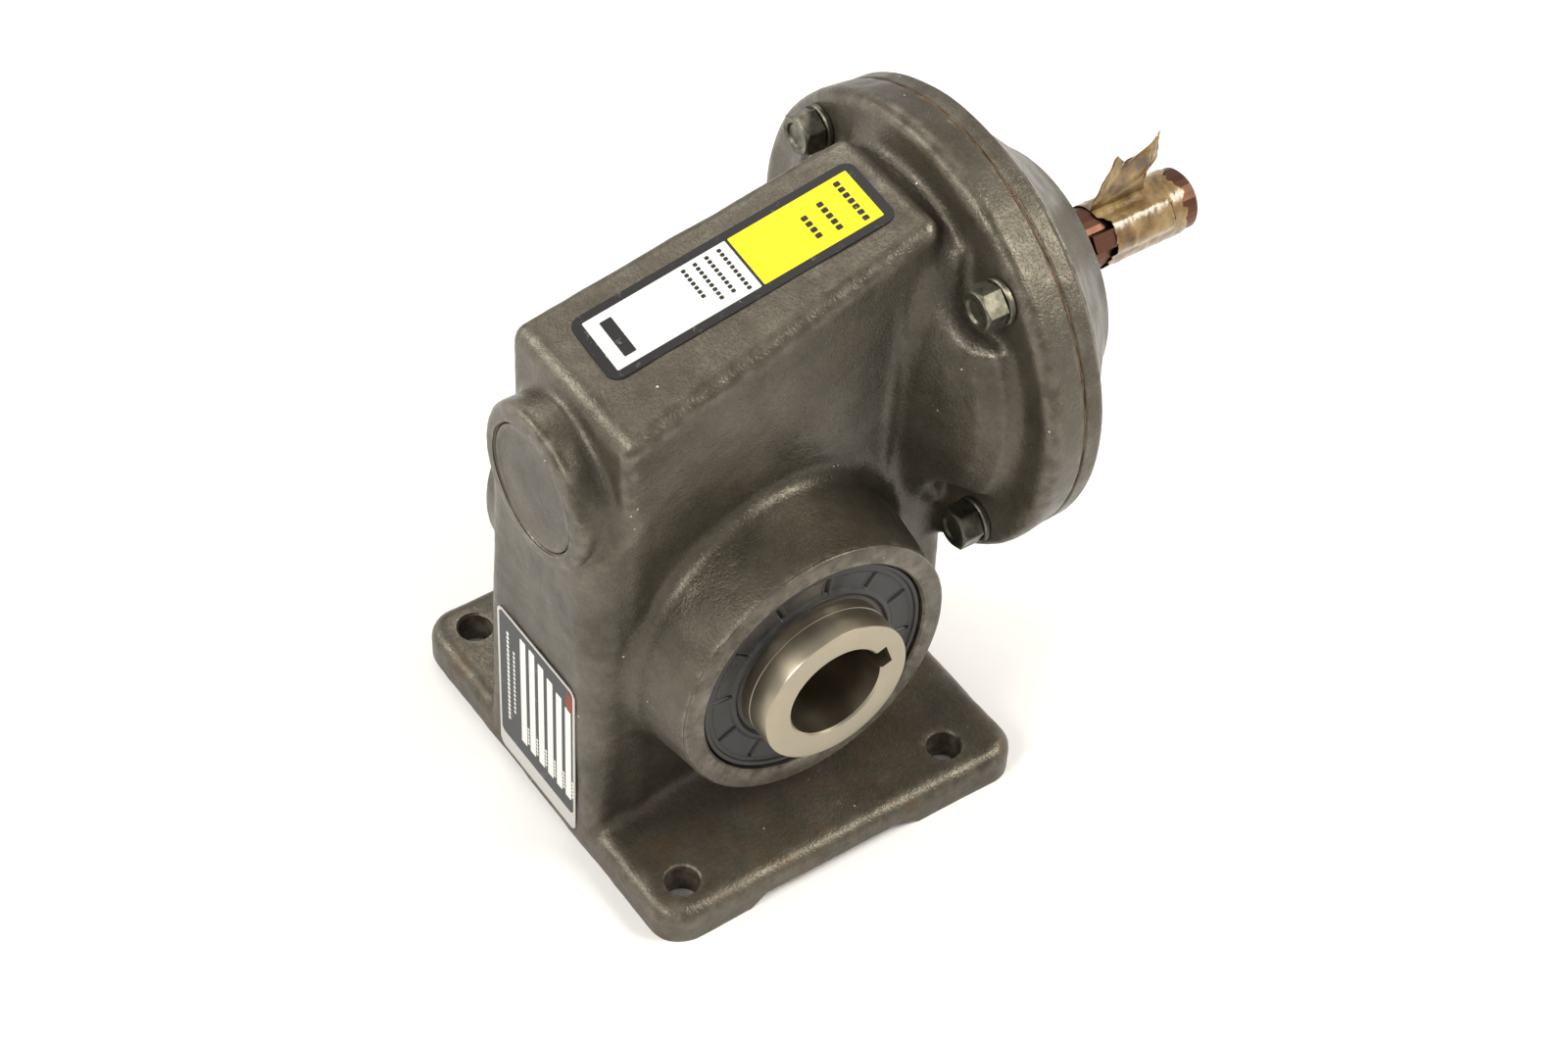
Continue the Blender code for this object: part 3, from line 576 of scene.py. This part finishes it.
paint = paint_material()
steel = metal_material("turned_steel_look", (0.37, 0.325, 0.25), 0.30, 5200.0, OUTPUT_Z, "X")
shaft_steel = metal_material("shaft_steel_look", (0.13, 0.062, 0.042), 0.36, 5200.0, WORM_Z, "Y",
                             (0.05, 0.03, 0.022))
ground_steel = metal_material("bearing_steel_look", (0.62, 0.62, 0.61), 0.16, 7000.0, OUTPUT_Z, "X")
bronze = metal_material("bronze_look", (0.64, 0.42, 0.18), 0.3, 4000.0, OUTPUT_Z, "X", (0.4, 0.2, 0.08))
zinc = zinc_material()
rubber = rubber_material()
fibre = fibre_material()
paper = paper_material()
sheet_metal = print_material("plate_metal_look", (0.62, 0.61, 0.58), 0.34, 0.85)
plate_ink = print_material("plate_ink", (0.045, 0.047, 0.05), 0.4)
plate_field = print_material("plate_field", (0.66, 0.66, 0.63), 0.4)
plate_stain = print_material("plate_stain", (0.20, 0.055, 0.035), 0.6)
sticker_black = print_material("sticker_black", (0.016, 0.016, 0.017), 0.38)
sticker_white = print_material("sticker_white", (0.62, 0.62, 0.60), 0.36, scuff=(0.6, 0.58, 0.5))
sticker_yellow = print_material("sticker_yellow", (0.74, 0.62, 0.012), 0.36, scuff=(0.55, 0.42, 0.03))


# The casting and what is bolted to it

def casting():
    """The housing, its skin grown from rounded shapes and its machined faces cut flat."""
    low = (-FOOT_X - 3.0, CAP_FACE_Y - 3.0, -5.0)
    high = (FOOT_X + 3.0, FLANGE_Y + 4.5, WORM_Z + FLANGE_R + 5.0)
    points, quads = surface_net(casting_distance, low, high, CELL)
    points, normal = settle(points, quads, casting_distance)
    uneven = ripple(points, SEED, 14, 22.0, 0.10) + ripple(points, SEED + 1, 24, 5.0, 0.035)
    points = points + normal * np.clip(uneven, -0.25, 0.25)[:, None]
    thing = make("casting", points, quads, paint)
    return cut(thing, machining(), 30)


def edge_cutter(axis, centre, r, face, outward, size):
    """Rounds the rim of a turned face."""
    inner = [(r - size - 0.02, face + outward * 3.0)]
    for turn in map(math.radians, (0, 22, 45, 68, 90)):
        inner.append((r - size * (1 - math.sin(turn)), face - outward * size * (1 - math.cos(turn))))
    outer = [(r + 4.0, face - outward * size), (r + 4.0, face + outward * 3.0)]
    return turned("cutter", axis, centre, inner + outer, None, 160, ring=True)


def hole(axis, centre, r, start, end, count=96, lip=0.0):
    """A plain bore, opened out by a small chamfer at its end."""
    outward = 1.0 if end > start else -1.0
    mouth = r + lip + 0.001
    profile = [(r, start), (r, end - outward * lip), (mouth, end), (mouth, end + outward * 6.0)]
    return turned("cutter", axis, centre, profile, None, count)


def machining():
    """Everything that is cut out of the casting."""
    output = (0, 0, OUTPUT_Z)
    worm = (0, 0, WORM_Z)
    cutters = [block((-80, -70, -20), (80, 90, 0)), block((-80, FLANGE_Y, 20), (80, 90, 190))]
    for side in (1, -1):
        near, far = sorted((side * BOSS_X, side * (BOSS_X + 6)))
        cutters.append(block((near, -45, 12), (far, 45, 110)))
        cutters.append(edge_cutter("X", output, BOSS_R_FACE, side * BOSS_X, side, 0.7))
        cutters.append(hole("X", output, SEAL_R + 0.35, side * 19.6, side * BOSS_X, 160, 0.5))
        for y in (-HOLE_Y, HOLE_Y):
            worn = [(HOLE_R + 0.5, -5), (HOLE_R + 0.5, 0.0), (HOLE_R, 0.5), (HOLE_R, 9.1),
                    (HOLE_R + 0.5, 9.62), (HOLE_R + 0.6, 16)]
            cutters.append(turned("cutter", "Z", (side * HOLE_X, y, 0), worn, None, 64))
        low, high = sorted((side * (FOOT_X - 22), side * (FOOT_X + 5)))
        cutters.append(lofted("cutter", [
            [(low, -27.0, -1.0), (high, -27.0, -1.0), (high, 26.0, -1.0), (low, 26.0, -1.0)],
            [(low, -21.0, 3.4), (high, -21.0, 3.4), (high, 19.5, 3.4), (low, 19.5, 3.4)]], None))
    cutters.append(turned("cutter", "X", output, [(27.0, -30), (27.0, 30)], None, 96))
    cutters.append(turned("cutter", "Y", worm, [(42.0, SEAT_Y + 2.3), (42.0, 80)], None, 128))
    cutters.append(room())
    cutters.append(hole("Y", worm, CAP_R + 0.18, -34.2, CAP_FACE_Y, 128, 0.35))
    cutters.append(turned("cutter", "Y", worm, [(12.0, -36), (12.0, -30)], None, 64))
    cutters.append(edge_cutter("Y", worm, FLANGE_R, FLANGE_Y, 1, 0.5))
    return cutters


def room():
    """The hollow that the wheel turns in."""
    loops = []
    sections = ((-43.5, 52.0, 14.0, 0.0), (-43.5, 52.0, 62.0, 0.0), (-43.5, 56.0, 76.0, 0.0),
                (-43.5, 56.0, 90.0, 0.0), (-34.4, 56.0, 104.0, 0.0),
                (-34.4, 56.0, TOP_Z - 7.0, TOP_SLOPE))
    for y0, y1, level, slope in sections:
        loop = []
        for x, y in ((-1, y0), (1, y0), (1, y1), (-1, y1)):
            width = BODY_X - 5.0 - BODY_TAPER * (y + 40.0)
            loop.append((x * width, y, level + slope * (y - TOP_Y)))
        loops.append(loop)
    bearing_block = turned("cutter", "Y", (0, 0, WORM_Z), [(19.5, -60), (19.5, -32)], None, 64)
    return cut(lofted("cutter", loops, None), [bearing_block])


def cast_skin(r, t, turn):
    """A little unevenness for a turned piece that is cast."""
    spot = np.array([place("Y", (0, 0, WORM_Z), r, t, turn)])
    lift = float(ripple(spot, SEED + 4, 8, 20.0, 0.07)[0]) - 0.12
    return r + lift, t


def cover():
    """The domed input cover, with its step and crowned face."""
    outside = [(41.7, 60.4), (41.7, 63.5), (FLANGE_R - 0.3, 63.5)]
    outside += arc((FLANGE_R - 0.6, 64.1), 0.6, -60, 0, 3)
    outside += [(FLANGE_R, 66.0)] + arc((FLANGE_R - 1.6, 67.2), 1.6, 0, 60, 5)
    outside += [(54.6, 69.6), (51.9, 70.6)] + arc((51.6, 71.4), 0.6, -80, 30, 3)
    outside += [(51.2, 72.4), (47.0, 75.6), (42.0, 80.0), (37.0, 84.6), (32.6, 88.7)]
    outside += arc((29.2, 88.7), 2.8, 40, 90, 6)
    inside = [(26.0, COVER_FACE_Y), (18.2, COVER_FACE_Y), (17.7, COVER_FACE_Y - 0.5), (17.7, 83.6),
              (14.0, 83.6), (14.0, 81.6), (23.7, 81.6), (23.7, 66.8), (24.9, 66.8), (24.9, 64.6),
              (23.7, 64.6), (23.7, 60.4)]

    def shape(r, t, turn):
        return cast_skin(r, t, turn) if t > 64.5 and r > 26 else (r, t)

    return turned("cover", "Y", (0, 0, WORM_Z), outside + inside, paint, 192, ring=True, shape=shape)


def gasket():
    low, high = gasket_low[1] - 0.05, gasket_high[1] + 0.05

    def shape(r, t, turn):
        if r < 50:
            return r, t
        return r + 0.12 * math.sin(17 * turn) * math.sin(5 * turn + 1) + 0.1 * math.sin(41 * turn), t

    profile = [(43, low), (43, high), (57.0, high), (57.0, low)]
    return turned("gasket", "Y", (0, 0, WORM_Z), profile, fibre, 240, ring=True, shape=shape)


def hexagon_r(turn, flats):
    """Radius of a hexagon at an angle."""
    part = math.radians(60)
    return flats / 2 / math.cos((turn % part) - part / 2)


def hex_head(name, axis, centre, seat, height, flats, turn0, finish, shank):
    """A bolt: chamfered hexagon with a dished top, and a shank as (radius, length).

    The height is signed along the axis.
    """
    dish = 0.9
    out = 1.0 if height > 0 else -1.0
    tall = abs(height)
    flat_r = flats / 2 * 0.93
    rings = [(flat_r * 0.42, tall - dish), (flat_r * 0.62, tall - dish * 0.75), (flat_r * 0.74, tall - 0.12),
             (flat_r * 0.82, tall), (flat_r, tall)]
    count = 96
    points = []
    rows = []

    def ring_of(row):
        rows.append(list(range(len(points), len(points) + count)))
        points.extend(row)

    for r, up in rings:
        ring_of([place(axis, centre, r, seat + out * up, 2 * math.pi * k / count) for k in range(count)])
    rim = []
    base = []
    for k in range(count):
        turn = 2 * math.pi * k / count
        r = hexagon_r(turn - turn0, flats)
        rim.append(place(axis, centre, r, seat + out * (tall - 0.12 - (r - flat_r) * 0.58), turn))
        base.append(place(axis, centre, r, seat + out * 0.25, turn))
    ring_of(rim)
    ring_of(base)
    for r, up in ((flats / 2 * 0.97, 0.0), (shank[0], 0.0), (shank[0], -shank[1])):
        ring_of([place(axis, centre, r, seat + out * up, 2 * math.pi * k / count) for k in range(count)])
    faces = [rows[0], rows[-1]]
    for low, high in zip(rows, rows[1:]):
        for k in range(count):
            n = (k + 1) % count
            faces.append([low[k], low[n], high[n], high[k]])
    return make(name, points, faces, finish, 24)


BOLT_FLATS = 9.9
BOLT_SHANK = (2.9, 14.0)


def bolts_and_washers():
    for k in range(4):
        low, high = corners(f"flange_washer_{k + 1}")
        spot = ((low[0] + high[0]) / 2, 0, (low[2] + high[2]) / 2)
        seat = WASHER_Y[0] - 0.15
        head = hex_head(f"bolt_head_{k + 1}", "Y", spot, seat, BOLT_HEAD_Y - seat, BOLT_FLATS,
                        math.radians(15 + 17 * k), zinc, BOLT_SHANK)
        near, far = WASHER_Y
        profile = [(3.3, near), (WASHER_R - 0.35, near), (WASHER_R, near + 0.35), (WASHER_R, far - 0.25),
                   (WASHER_R - 0.25, far), (3.3, far)]
        ring = turned(f"washer_{k + 1}", "Y", spot, profile, zinc, 80, ring=True)
        for piece, old in ((head, f"flange_bolt_{k + 1}"), (ring, f"flange_washer_{k + 1}")):
            keep(piece, "housing", "plated_fastener", old)


def end_cap():
    """The pressed cap: a flat disc with a rolled rim, dented a little in the middle."""
    face = cap_low[1]
    profile = [(CAP_R - 1.6, face + 4.0), (CAP_R, face + 3.6), (CAP_R, face + 0.5)]
    profile += arc((CAP_R - 0.5, face + 0.5), 0.5, 0, -90, 4)
    profile += [(CAP_R - 1.4, face), (CAP_R - 1.9, face + 0.16), (CAP_R - 2.6, face + 0.2),
                (10.0, face + 0.22), (5.0, face + 0.24), (1.0, face + 0.25)]
    return turned("end_cap", "Y", (0, 0, WORM_Z), profile, paint, 160)


def shaft_seal(name, side):
    """A rubber seal: rim, groove, ribbed web and raised lip."""
    ribs = 12
    first = math.radians(-7)
    rim = [(SEAL_R - 0.02, 35.0), (SEAL_R, 36.0), (SEAL_R, 42.9), (30.5, 43.3), (30.0, 43.35),
           (29.6, 43.2), (29.3, 42.7), (28.8, 42.6), (28.3, 42.75), (27.9, 42.5)]
    web = [(27.0, 42.45), (25.4, 42.4), (23.9, 42.4), (23.3, 42.45), (22.9, 42.8)]
    lip = [(22.3, 43.1), (21.7, 43.05), (21.2, 42.6), (20.9, 42.4), (20.3, 42.5), (19.62, 42.9),
           (19.55, 42.5), (21.5, 39.0), (22.0, 35.0)]

    def shape(r, t, turn):
        if not 23.2 < r < 28.0 or t < 42:
            return r, side * t
        part = 2 * math.pi / ribs
        off = ((turn - first + part / 2) % part - part / 2) * r
        groove = 0.75 * math.exp(-(off / 0.42) ** 2)
        banks = 0.15 * math.exp(-((abs(off) - 0.9) / 0.4) ** 2)
        return r, side * (t - groove + banks)

    return turned(name, "X", (0, 0, OUTPUT_Z), rim + web + lip, rubber, 720, ring=True, shape=shape)


def hollow_shaft():
    """The hollow output shaft: chamfered ends, a relieved bore and a through keyway."""
    half = [(BORE_R + 0.5, HUB_X), (HUB_R - 0.55, HUB_X), (HUB_R - 0.15, HUB_X - 0.15),
            (HUB_R, HUB_X - 0.55), (HUB_R, 46.4), (HUB_R - 0.12, 46.3), (HUB_R - 0.12, 46.0), (HUB_R, 45.9),
            (HUB_R, 34.6), (20.0, 34.0)]
    bore = [(BORE_R, HUB_X - 0.5), (BORE_R, 36.0), (BORE_R + 0.45, 35.4)]
    profile = half + [(r, -t) for r, t in reversed(half)] + [(r, -t) for r, t in bore]
    profile += list(reversed(bore))
    shaft = turned("hollow_shaft", "X", (0, 0, OUTPUT_Z), profile, steel, 160, ring=True)
    way = bar("cutter", (0, 0, OUTPUT_Z), KEYWAY_ANGLE, KEYWAY_W, 5.0, KEYWAY_R, -60.0, 60.0, "X")
    seat = bar("cutter", (0, 0, OUTPUT_Z), math.pi, 6.2, 17.0, 24.0, -9.2, 9.2, "X")
    return cut(shaft, [way, seat], 25)


def keep(piece, body, slot, *nodes):
    """Say what a piece rides on and stands for; the slot argument is not used."""
    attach(piece, body)
    if nodes:
        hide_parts(*nodes)


# Sticker and nameplate: thin printed layers, with plain bars where words would be

def rounded(x0, x1, y0, y1, corner, steps=6):
    points = []
    for cx, cy, start in ((x1 - corner, y1 - corner, 0), (x0 + corner, y1 - corner, 90),
                          (x0 + corner, y0 + corner, 180), (x1 - corner, y0 + corner, 270)):
        for k in range(steps + 1):
            turn = math.radians(start + 90 * k / steps)
            points.append((cx + corner * math.cos(turn), cy + corner * math.sin(turn)))
    return points


def layers(name, sheets, spot):
    """One object of thin solid layers; sheets are (outline, low, high, material)."""
    points = []
    faces = []
    finishes = []
    which = []
    for outline, low, high, finish in sheets:
        if finish not in finishes:
            finishes.append(finish)
        base = len(points)
        count = len(outline)
        points += [spot(u, v, low) for u, v in outline] + [spot(u, v, high) for u, v in outline]
        made = [list(range(base, base + count)), list(range(base + count, base + 2 * count))]
        made += [[base + k, base + (k + 1) % count, base + count + (k + 1) % count, base + count + k]
                 for k in range(count)]
        faces += made
        which += [finishes.index(finish)] * len(made)
    thing = make(name, points, faces, finishes)
    thing.data.polygons.foreach_set("material_index", which)
    return thing


def sticker():
    """Black-edged sticker in a white and a yellow field, askew on the sloping top."""
    skew = math.radians(-3.5)
    centre = ((label_low[0] + label_high[0]) / 2, (label_low[1] + label_high[1]) / 2)

    def spot(u, v, lift):
        x = centre[0] + u * math.cos(skew) - v * math.sin(skew)
        y = centre[1] + u * math.sin(skew) + v * math.cos(skew)
        return (x, y, TOP_Z + TOP_SLOPE * (y - TOP_Y) + lift)

    def field(x0, x1, y0, y1):
        return rounded(x0, x1, y0, y1, 0.3, 2)

    sheets = [(rounded(-10.8, 10.8, -36.6, 36.6, 3.0), 0.0, 0.30, sticker_black),
              (field(-8.4, 8.4, -34.1, 2.6), 0.2, 0.34, sticker_white),
              (field(-8.4, 8.4, 3.3, 34.2), 0.2, 0.34, sticker_yellow)]
    for v, start, end in ((30.6, -6.9, 6.9), (24.6, -4.2, 5.2), (19.8, -3.0, 3.4)):
        for u in np.arange(start, end, 2.1):
            sheets.append((field(u, u + 1.5, v - 0.75, v + 0.75), 0.3, 0.37, sticker_black))
    for v, start, end in ((0.2, -7.2, 6.8), (-3.0, -7.2, 5.0), (-6.0, -7.2, 6.0), (-9.0, -7.2, 2.4)):
        for u in np.arange(start, end, 1.5):
            sheets.append((field(u, u + 1.1, v - 0.5, v + 0.5), 0.3, 0.37, sticker_black))
    sheets.append((field(-6.0, 6.0, -31.0, -28.0), 0.3, 0.37, sticker_black))
    return layers("sticker", sheets, spot)


def plate():
    """Nameplate: bright border, dark field, a header band and blank white fields."""
    x0, x1 = plate_low[0], plate_high[0]
    z0, z1 = plate_low[2], plate_high[2]
    back = plate_high[1]

    def spot(u, v, lift):
        return (u, back - lift, v)

    def field(a, b, c, d, corner=0.3):
        return rounded(a, b, c, d, corner, 3)

    sheets = [(rounded(x0, x1, z0, z1, 2.4), 0.0, 0.30, sheet_metal),
              (rounded(x0 + 0.9, x1 - 0.9, z0 + 5.6, z1 - 0.9, 1.6), 0.2, 0.33, plate_ink)]
    left = x0 + 10.4
    for k in range(6):
        start = left + 4.05 * k
        top = z1 - 3.2 - 3.1 * max(0, k - 1) * 0.4
        sheets.append((field(start, start + 2.5, z0 + 10.5, top), 0.3, 0.36, plate_field))
        for v in np.arange(z0 + 12.0, z0 + 17.5, 1.3):
            sheets.append((field(start + 2.8, start + 3.6, v, v + 0.9, 0.15), 0.3, 0.36, plate_field))
    for v in np.arange(z0 + 13.0, z1 - 6.0, 1.55):
        sheets.append((field(x0 + 4.2, x0 + 5.2, v, v + 1.1, 0.2), 0.3, 0.36, plate_field))
        if 20 < v < z1 - 12:
            sheets.append((field(x0 + 7.0, x0 + 7.8, v, v + 1.0, 0.2), 0.3, 0.36, plate_field))
    sheets.append((field(x1 - 3.6, x1 - 1.0, z1 - 8.5, z1 - 2.0, 1.0), 0.3, 0.37, plate_stain))
    return layers("plate", sheets, spot)


# The wrapped input shaft

def wrap():
    """Waxed paper round the shaft: it bulges over the key, its ends are torn, and a flap stands up."""
    around = 120
    along = 60
    random = np.random.default_rng(SEED)
    start_tear = np.cumsum(random.normal(0, 0.35, around))
    start_tear -= np.linspace(start_tear[0], start_tear[-1], around)
    end_tear = np.cumsum(random.normal(0, 0.4, around))
    end_tear -= np.linspace(end_tear[0], end_tear[-1], around)
    points = []
    for layer in (0.0, 0.16):
        for j in range(along + 1):
            for k in range(around):
                turn = 2 * math.pi * k / around
                off = math.atan2(math.sin(turn - INPUT_KEY_ANGLE), math.cos(turn - INPUT_KEY_ANGLE))
                y0 = 109.9 + float(np.clip(start_tear[k], -0.9, 1.4))
                y1 = 133.5 + float(np.clip(end_tear[k], -1.8, 1.0))
                y = y0 + (y1 - y0) * j / along
                swell = max(0.0, 1.0 - max(0.0, abs(off) - 0.30) / 0.42)
                fade = min(1.0, max(0.0, (129.6 - y) / 1.5))
                swell = swell * swell * (3 - 2 * swell) * fade
                r = INPUT_R + 0.35 + 1.95 * swell + layer
                spot = np.array([[r * turn * 0.6, y, r]])
                r += float(np.clip(crumple(spot)[0], -0.2, 0.28))
                points.append(place("Y", (0, 0, WORM_Z), r, y, turn))
    faces = []
    rows = [[layer * (along + 1) * around + j * around for j in range(along + 1)] for layer in (0, 1)]
    for layer in rows:
        for near, far in zip(layer, layer[1:]):
            for k in range(around):
                n = (k + 1) % around
                faces.append([near + k, near + n, far + n, far + k])
    for j in (0, along):
        for k in range(around):
            n = (k + 1) % around
            faces.append([rows[0][j] + k, rows[0][j] + n, rows[1][j] + n, rows[1][j] + k])
    return make("paper_wrap", points, faces, paper, 50)


def crumple(points):
    """Creases of crushed paper: ridges where waves fold over."""
    folds = np.abs(ripple(points, SEED + 7, 5, 7.0, 1.0)) * 0.10
    return folds + ripple(points, SEED + 8, 8, 2.4, 0.05) - 0.08


def flap():
    """The torn tongue of paper that stands up from the wrap."""
    outline = ((108.5, 8.3), (109.6, 12.5), (110.8, 16.6), (112.6, 18.2), (114.6, 19.4), (116.4, 21.9),
               (117.6, 20.2), (118.8, 18.8), (121.6, 20.6), (124.4, 22.6), (127.2, 24.0), (128.9, 24.5),
               (128.0, 21.0), (127.8, 18.0), (126.2, 15.0), (125.6, 11.5), (125.2, 8.3))
    fine = []
    for (a, b), (c, d) in zip(outline, outline[1:]):
        for t in (0.0, 0.34, 0.67):
            fine.append((a + (c - a) * t, b + (d - b) * t))
    fine.append(outline[-1])
    build = bmesh.new()
    verts = [build.verts.new((0, y, z)) for y, z in fine]
    build.faces.new(verts)
    bmesh.ops.triangulate(build, faces=build.faces)
    bmesh.ops.subdivide_edges(build, edges=build.edges, cuts=3, use_grid_fill=True)
    mesh_points = np.array([v.co for v in build.verts])
    build.verts.index_update()
    faces = [[v.index for v in f.verts] for f in build.faces]
    build.free()
    height = mesh_points[:, 2] - 8.3
    wave = ripple(mesh_points * [1, 1, 0.6], SEED + 9, 5, 9.0, 0.75)
    wave += ripple(mesh_points, SEED + 10, 6, 3.0, 0.16)
    mesh_points[:, 0] += wave * np.clip(height / 6.0, 0.12, 1.0) - 0.02 * height
    mesh_points[:, 2] += WORM_Z
    thing = make("paper_flap", mesh_points, faces, paper, 60)
    thicken = thing.modifiers.new("thickness", "SOLIDIFY")
    thicken.thickness = 0.16 * MM
    thicken.offset = 0.0
    return thing


def build_object():
    keep(casting(), "housing", "painted_casting", "housing")
    keep(cover(), "housing", "painted_casting", "input_cover")
    keep(gasket(), "housing", "gasket_fibre", "cover_gasket")
    keep(end_cap(), "housing", "painted_casting", "worm_end_cap")
    bolts_and_washers()
    for label, side in (("right", 1), ("left", -1)):
        keep(shaft_seal(f"shaft_seal_{label}", side), "housing", "seal_rubber", f"output_seal_{label}")
    keep(hollow_shaft(), "output", "turned_steel", "output_shaft")
    keep(sticker(), "housing", "sticker", "oil_label")
    keep(plate(), "housing", "plate_metal", "nameplate")
    keep(wrap(), "input", "waxed_paper", "shaft_wrap")
    keep(flap(), "input", "waxed_paper")


def dress_cad_nodes():
    """Materials for the CAD nodes that stay in view or inside."""
    looks = {"plug": zinc, "seal": rubber, "bearing": ground_steel, "worm_wheel": bronze,
             "worm_shaft": shaft_steel, "key": shaft_steel, "circlip": steel, "spacer": steel}
    for name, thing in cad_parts.items():
        for word, look in looks.items():
            if word in name:
                thing.data.materials.clear()
                thing.data.materials.append(look)
                break


# Stage, light and camera

def stage():
    """A pale floor far wider than the object."""
    reach = 3000.0
    square = [(-reach, -reach, 0), (reach, -reach, 0), (reach, reach, 0), (-reach, reach, 0)]
    floor = make("floor", square, [[0, 1, 2, 3]], None)
    made, _, shader, _ = blank("floor_look")
    shader.inputs["Base Color"].default_value = (0.86, 0.86, 0.86, 1.0)
    shader.inputs["Roughness"].default_value = 0.7
    floor.data.materials.append(made)


def softbox(name, where, size, power, colour=(1, 1, 1), target=(0, 0, 0.08)):
    lamp = bpy.data.lights.new(name, "AREA")
    lamp.shape = "RECTANGLE"
    lamp.size, lamp.size_y = size
    lamp.energy = power
    lamp.color = colour
    holder = bpy.data.objects.new(name, lamp)
    holder.location = where
    holder.rotation_euler = (Vector(target) - Vector(where)).to_track_quat("-Z", "Y").to_euler()
    bpy.context.scene.collection.objects.link(holder)


def lights():
    softbox("key", (0.55, 0.75, 0.95), (0.5, 0.5), 14.0, (1.0, 0.95, 0.86))
    softbox("left", (-0.75, -0.90, 0.60), (0.6, 0.5), 8.0, (1.0, 0.96, 0.90))
    softbox("back", (-0.70, 0.25, 0.95), (0.5, 0.6), 4.0, (1.0, 0.96, 0.88))
    softbox("front", (0.20, -1.05, 0.95), (0.5, 0.4), 10.0, (1.0, 0.96, 0.88))
    world = bpy.data.worlds.new("studio")
    world.use_nodes = True
    world.node_tree.nodes["Background"].inputs["Color"].default_value = (1.0, 1.0, 1.0, 1.0)
    world.node_tree.nodes["Background"].inputs["Strength"].default_value = 0.55
    bpy.context.scene.world = world
    bpy.context.scene.view_settings.view_transform = "Standard"


VIEW_ANGLES = (53.183, 46.579, 3.239)
LENS_MM = 79.87
SENSOR_MM = 36.0
CAMERA_AT = (0.46813, -0.32903, 0.67527)


def camera():
    """The photo's view: from the +X and -Y side, above, with a slight roll."""
    azimuth, elevation, roll = (math.radians(a) for a in VIEW_ANGLES)
    back = Vector((math.sin(azimuth) * math.cos(elevation), -math.cos(azimuth) * math.cos(elevation),
                   math.sin(elevation)))
    right0 = Vector((math.cos(azimuth), math.sin(azimuth), 0))
    up0 = back.cross(right0)
    right = math.cos(roll) * right0 + math.sin(roll) * up0
    up = math.cos(roll) * up0 - math.sin(roll) * right0
    data = bpy.data.cameras.new("camera")
    data.lens = LENS_MM
    data.sensor_width = SENSOR_MM
    holder = bpy.data.objects.new("camera", data)
    bpy.context.scene.collection.objects.link(holder)
    turn = holder.matrix_world.copy()
    for k in range(3):
        turn[k][0] = right[k]
        turn[k][1] = up[k]
        turn[k][2] = back[k]
    turn[0][3], turn[1][3], turn[2][3] = CAMERA_AT
    holder.matrix_world = turn
    bpy.context.scene.camera = holder


build_object()
dress_cad_nodes()
stage()
lights()
camera()
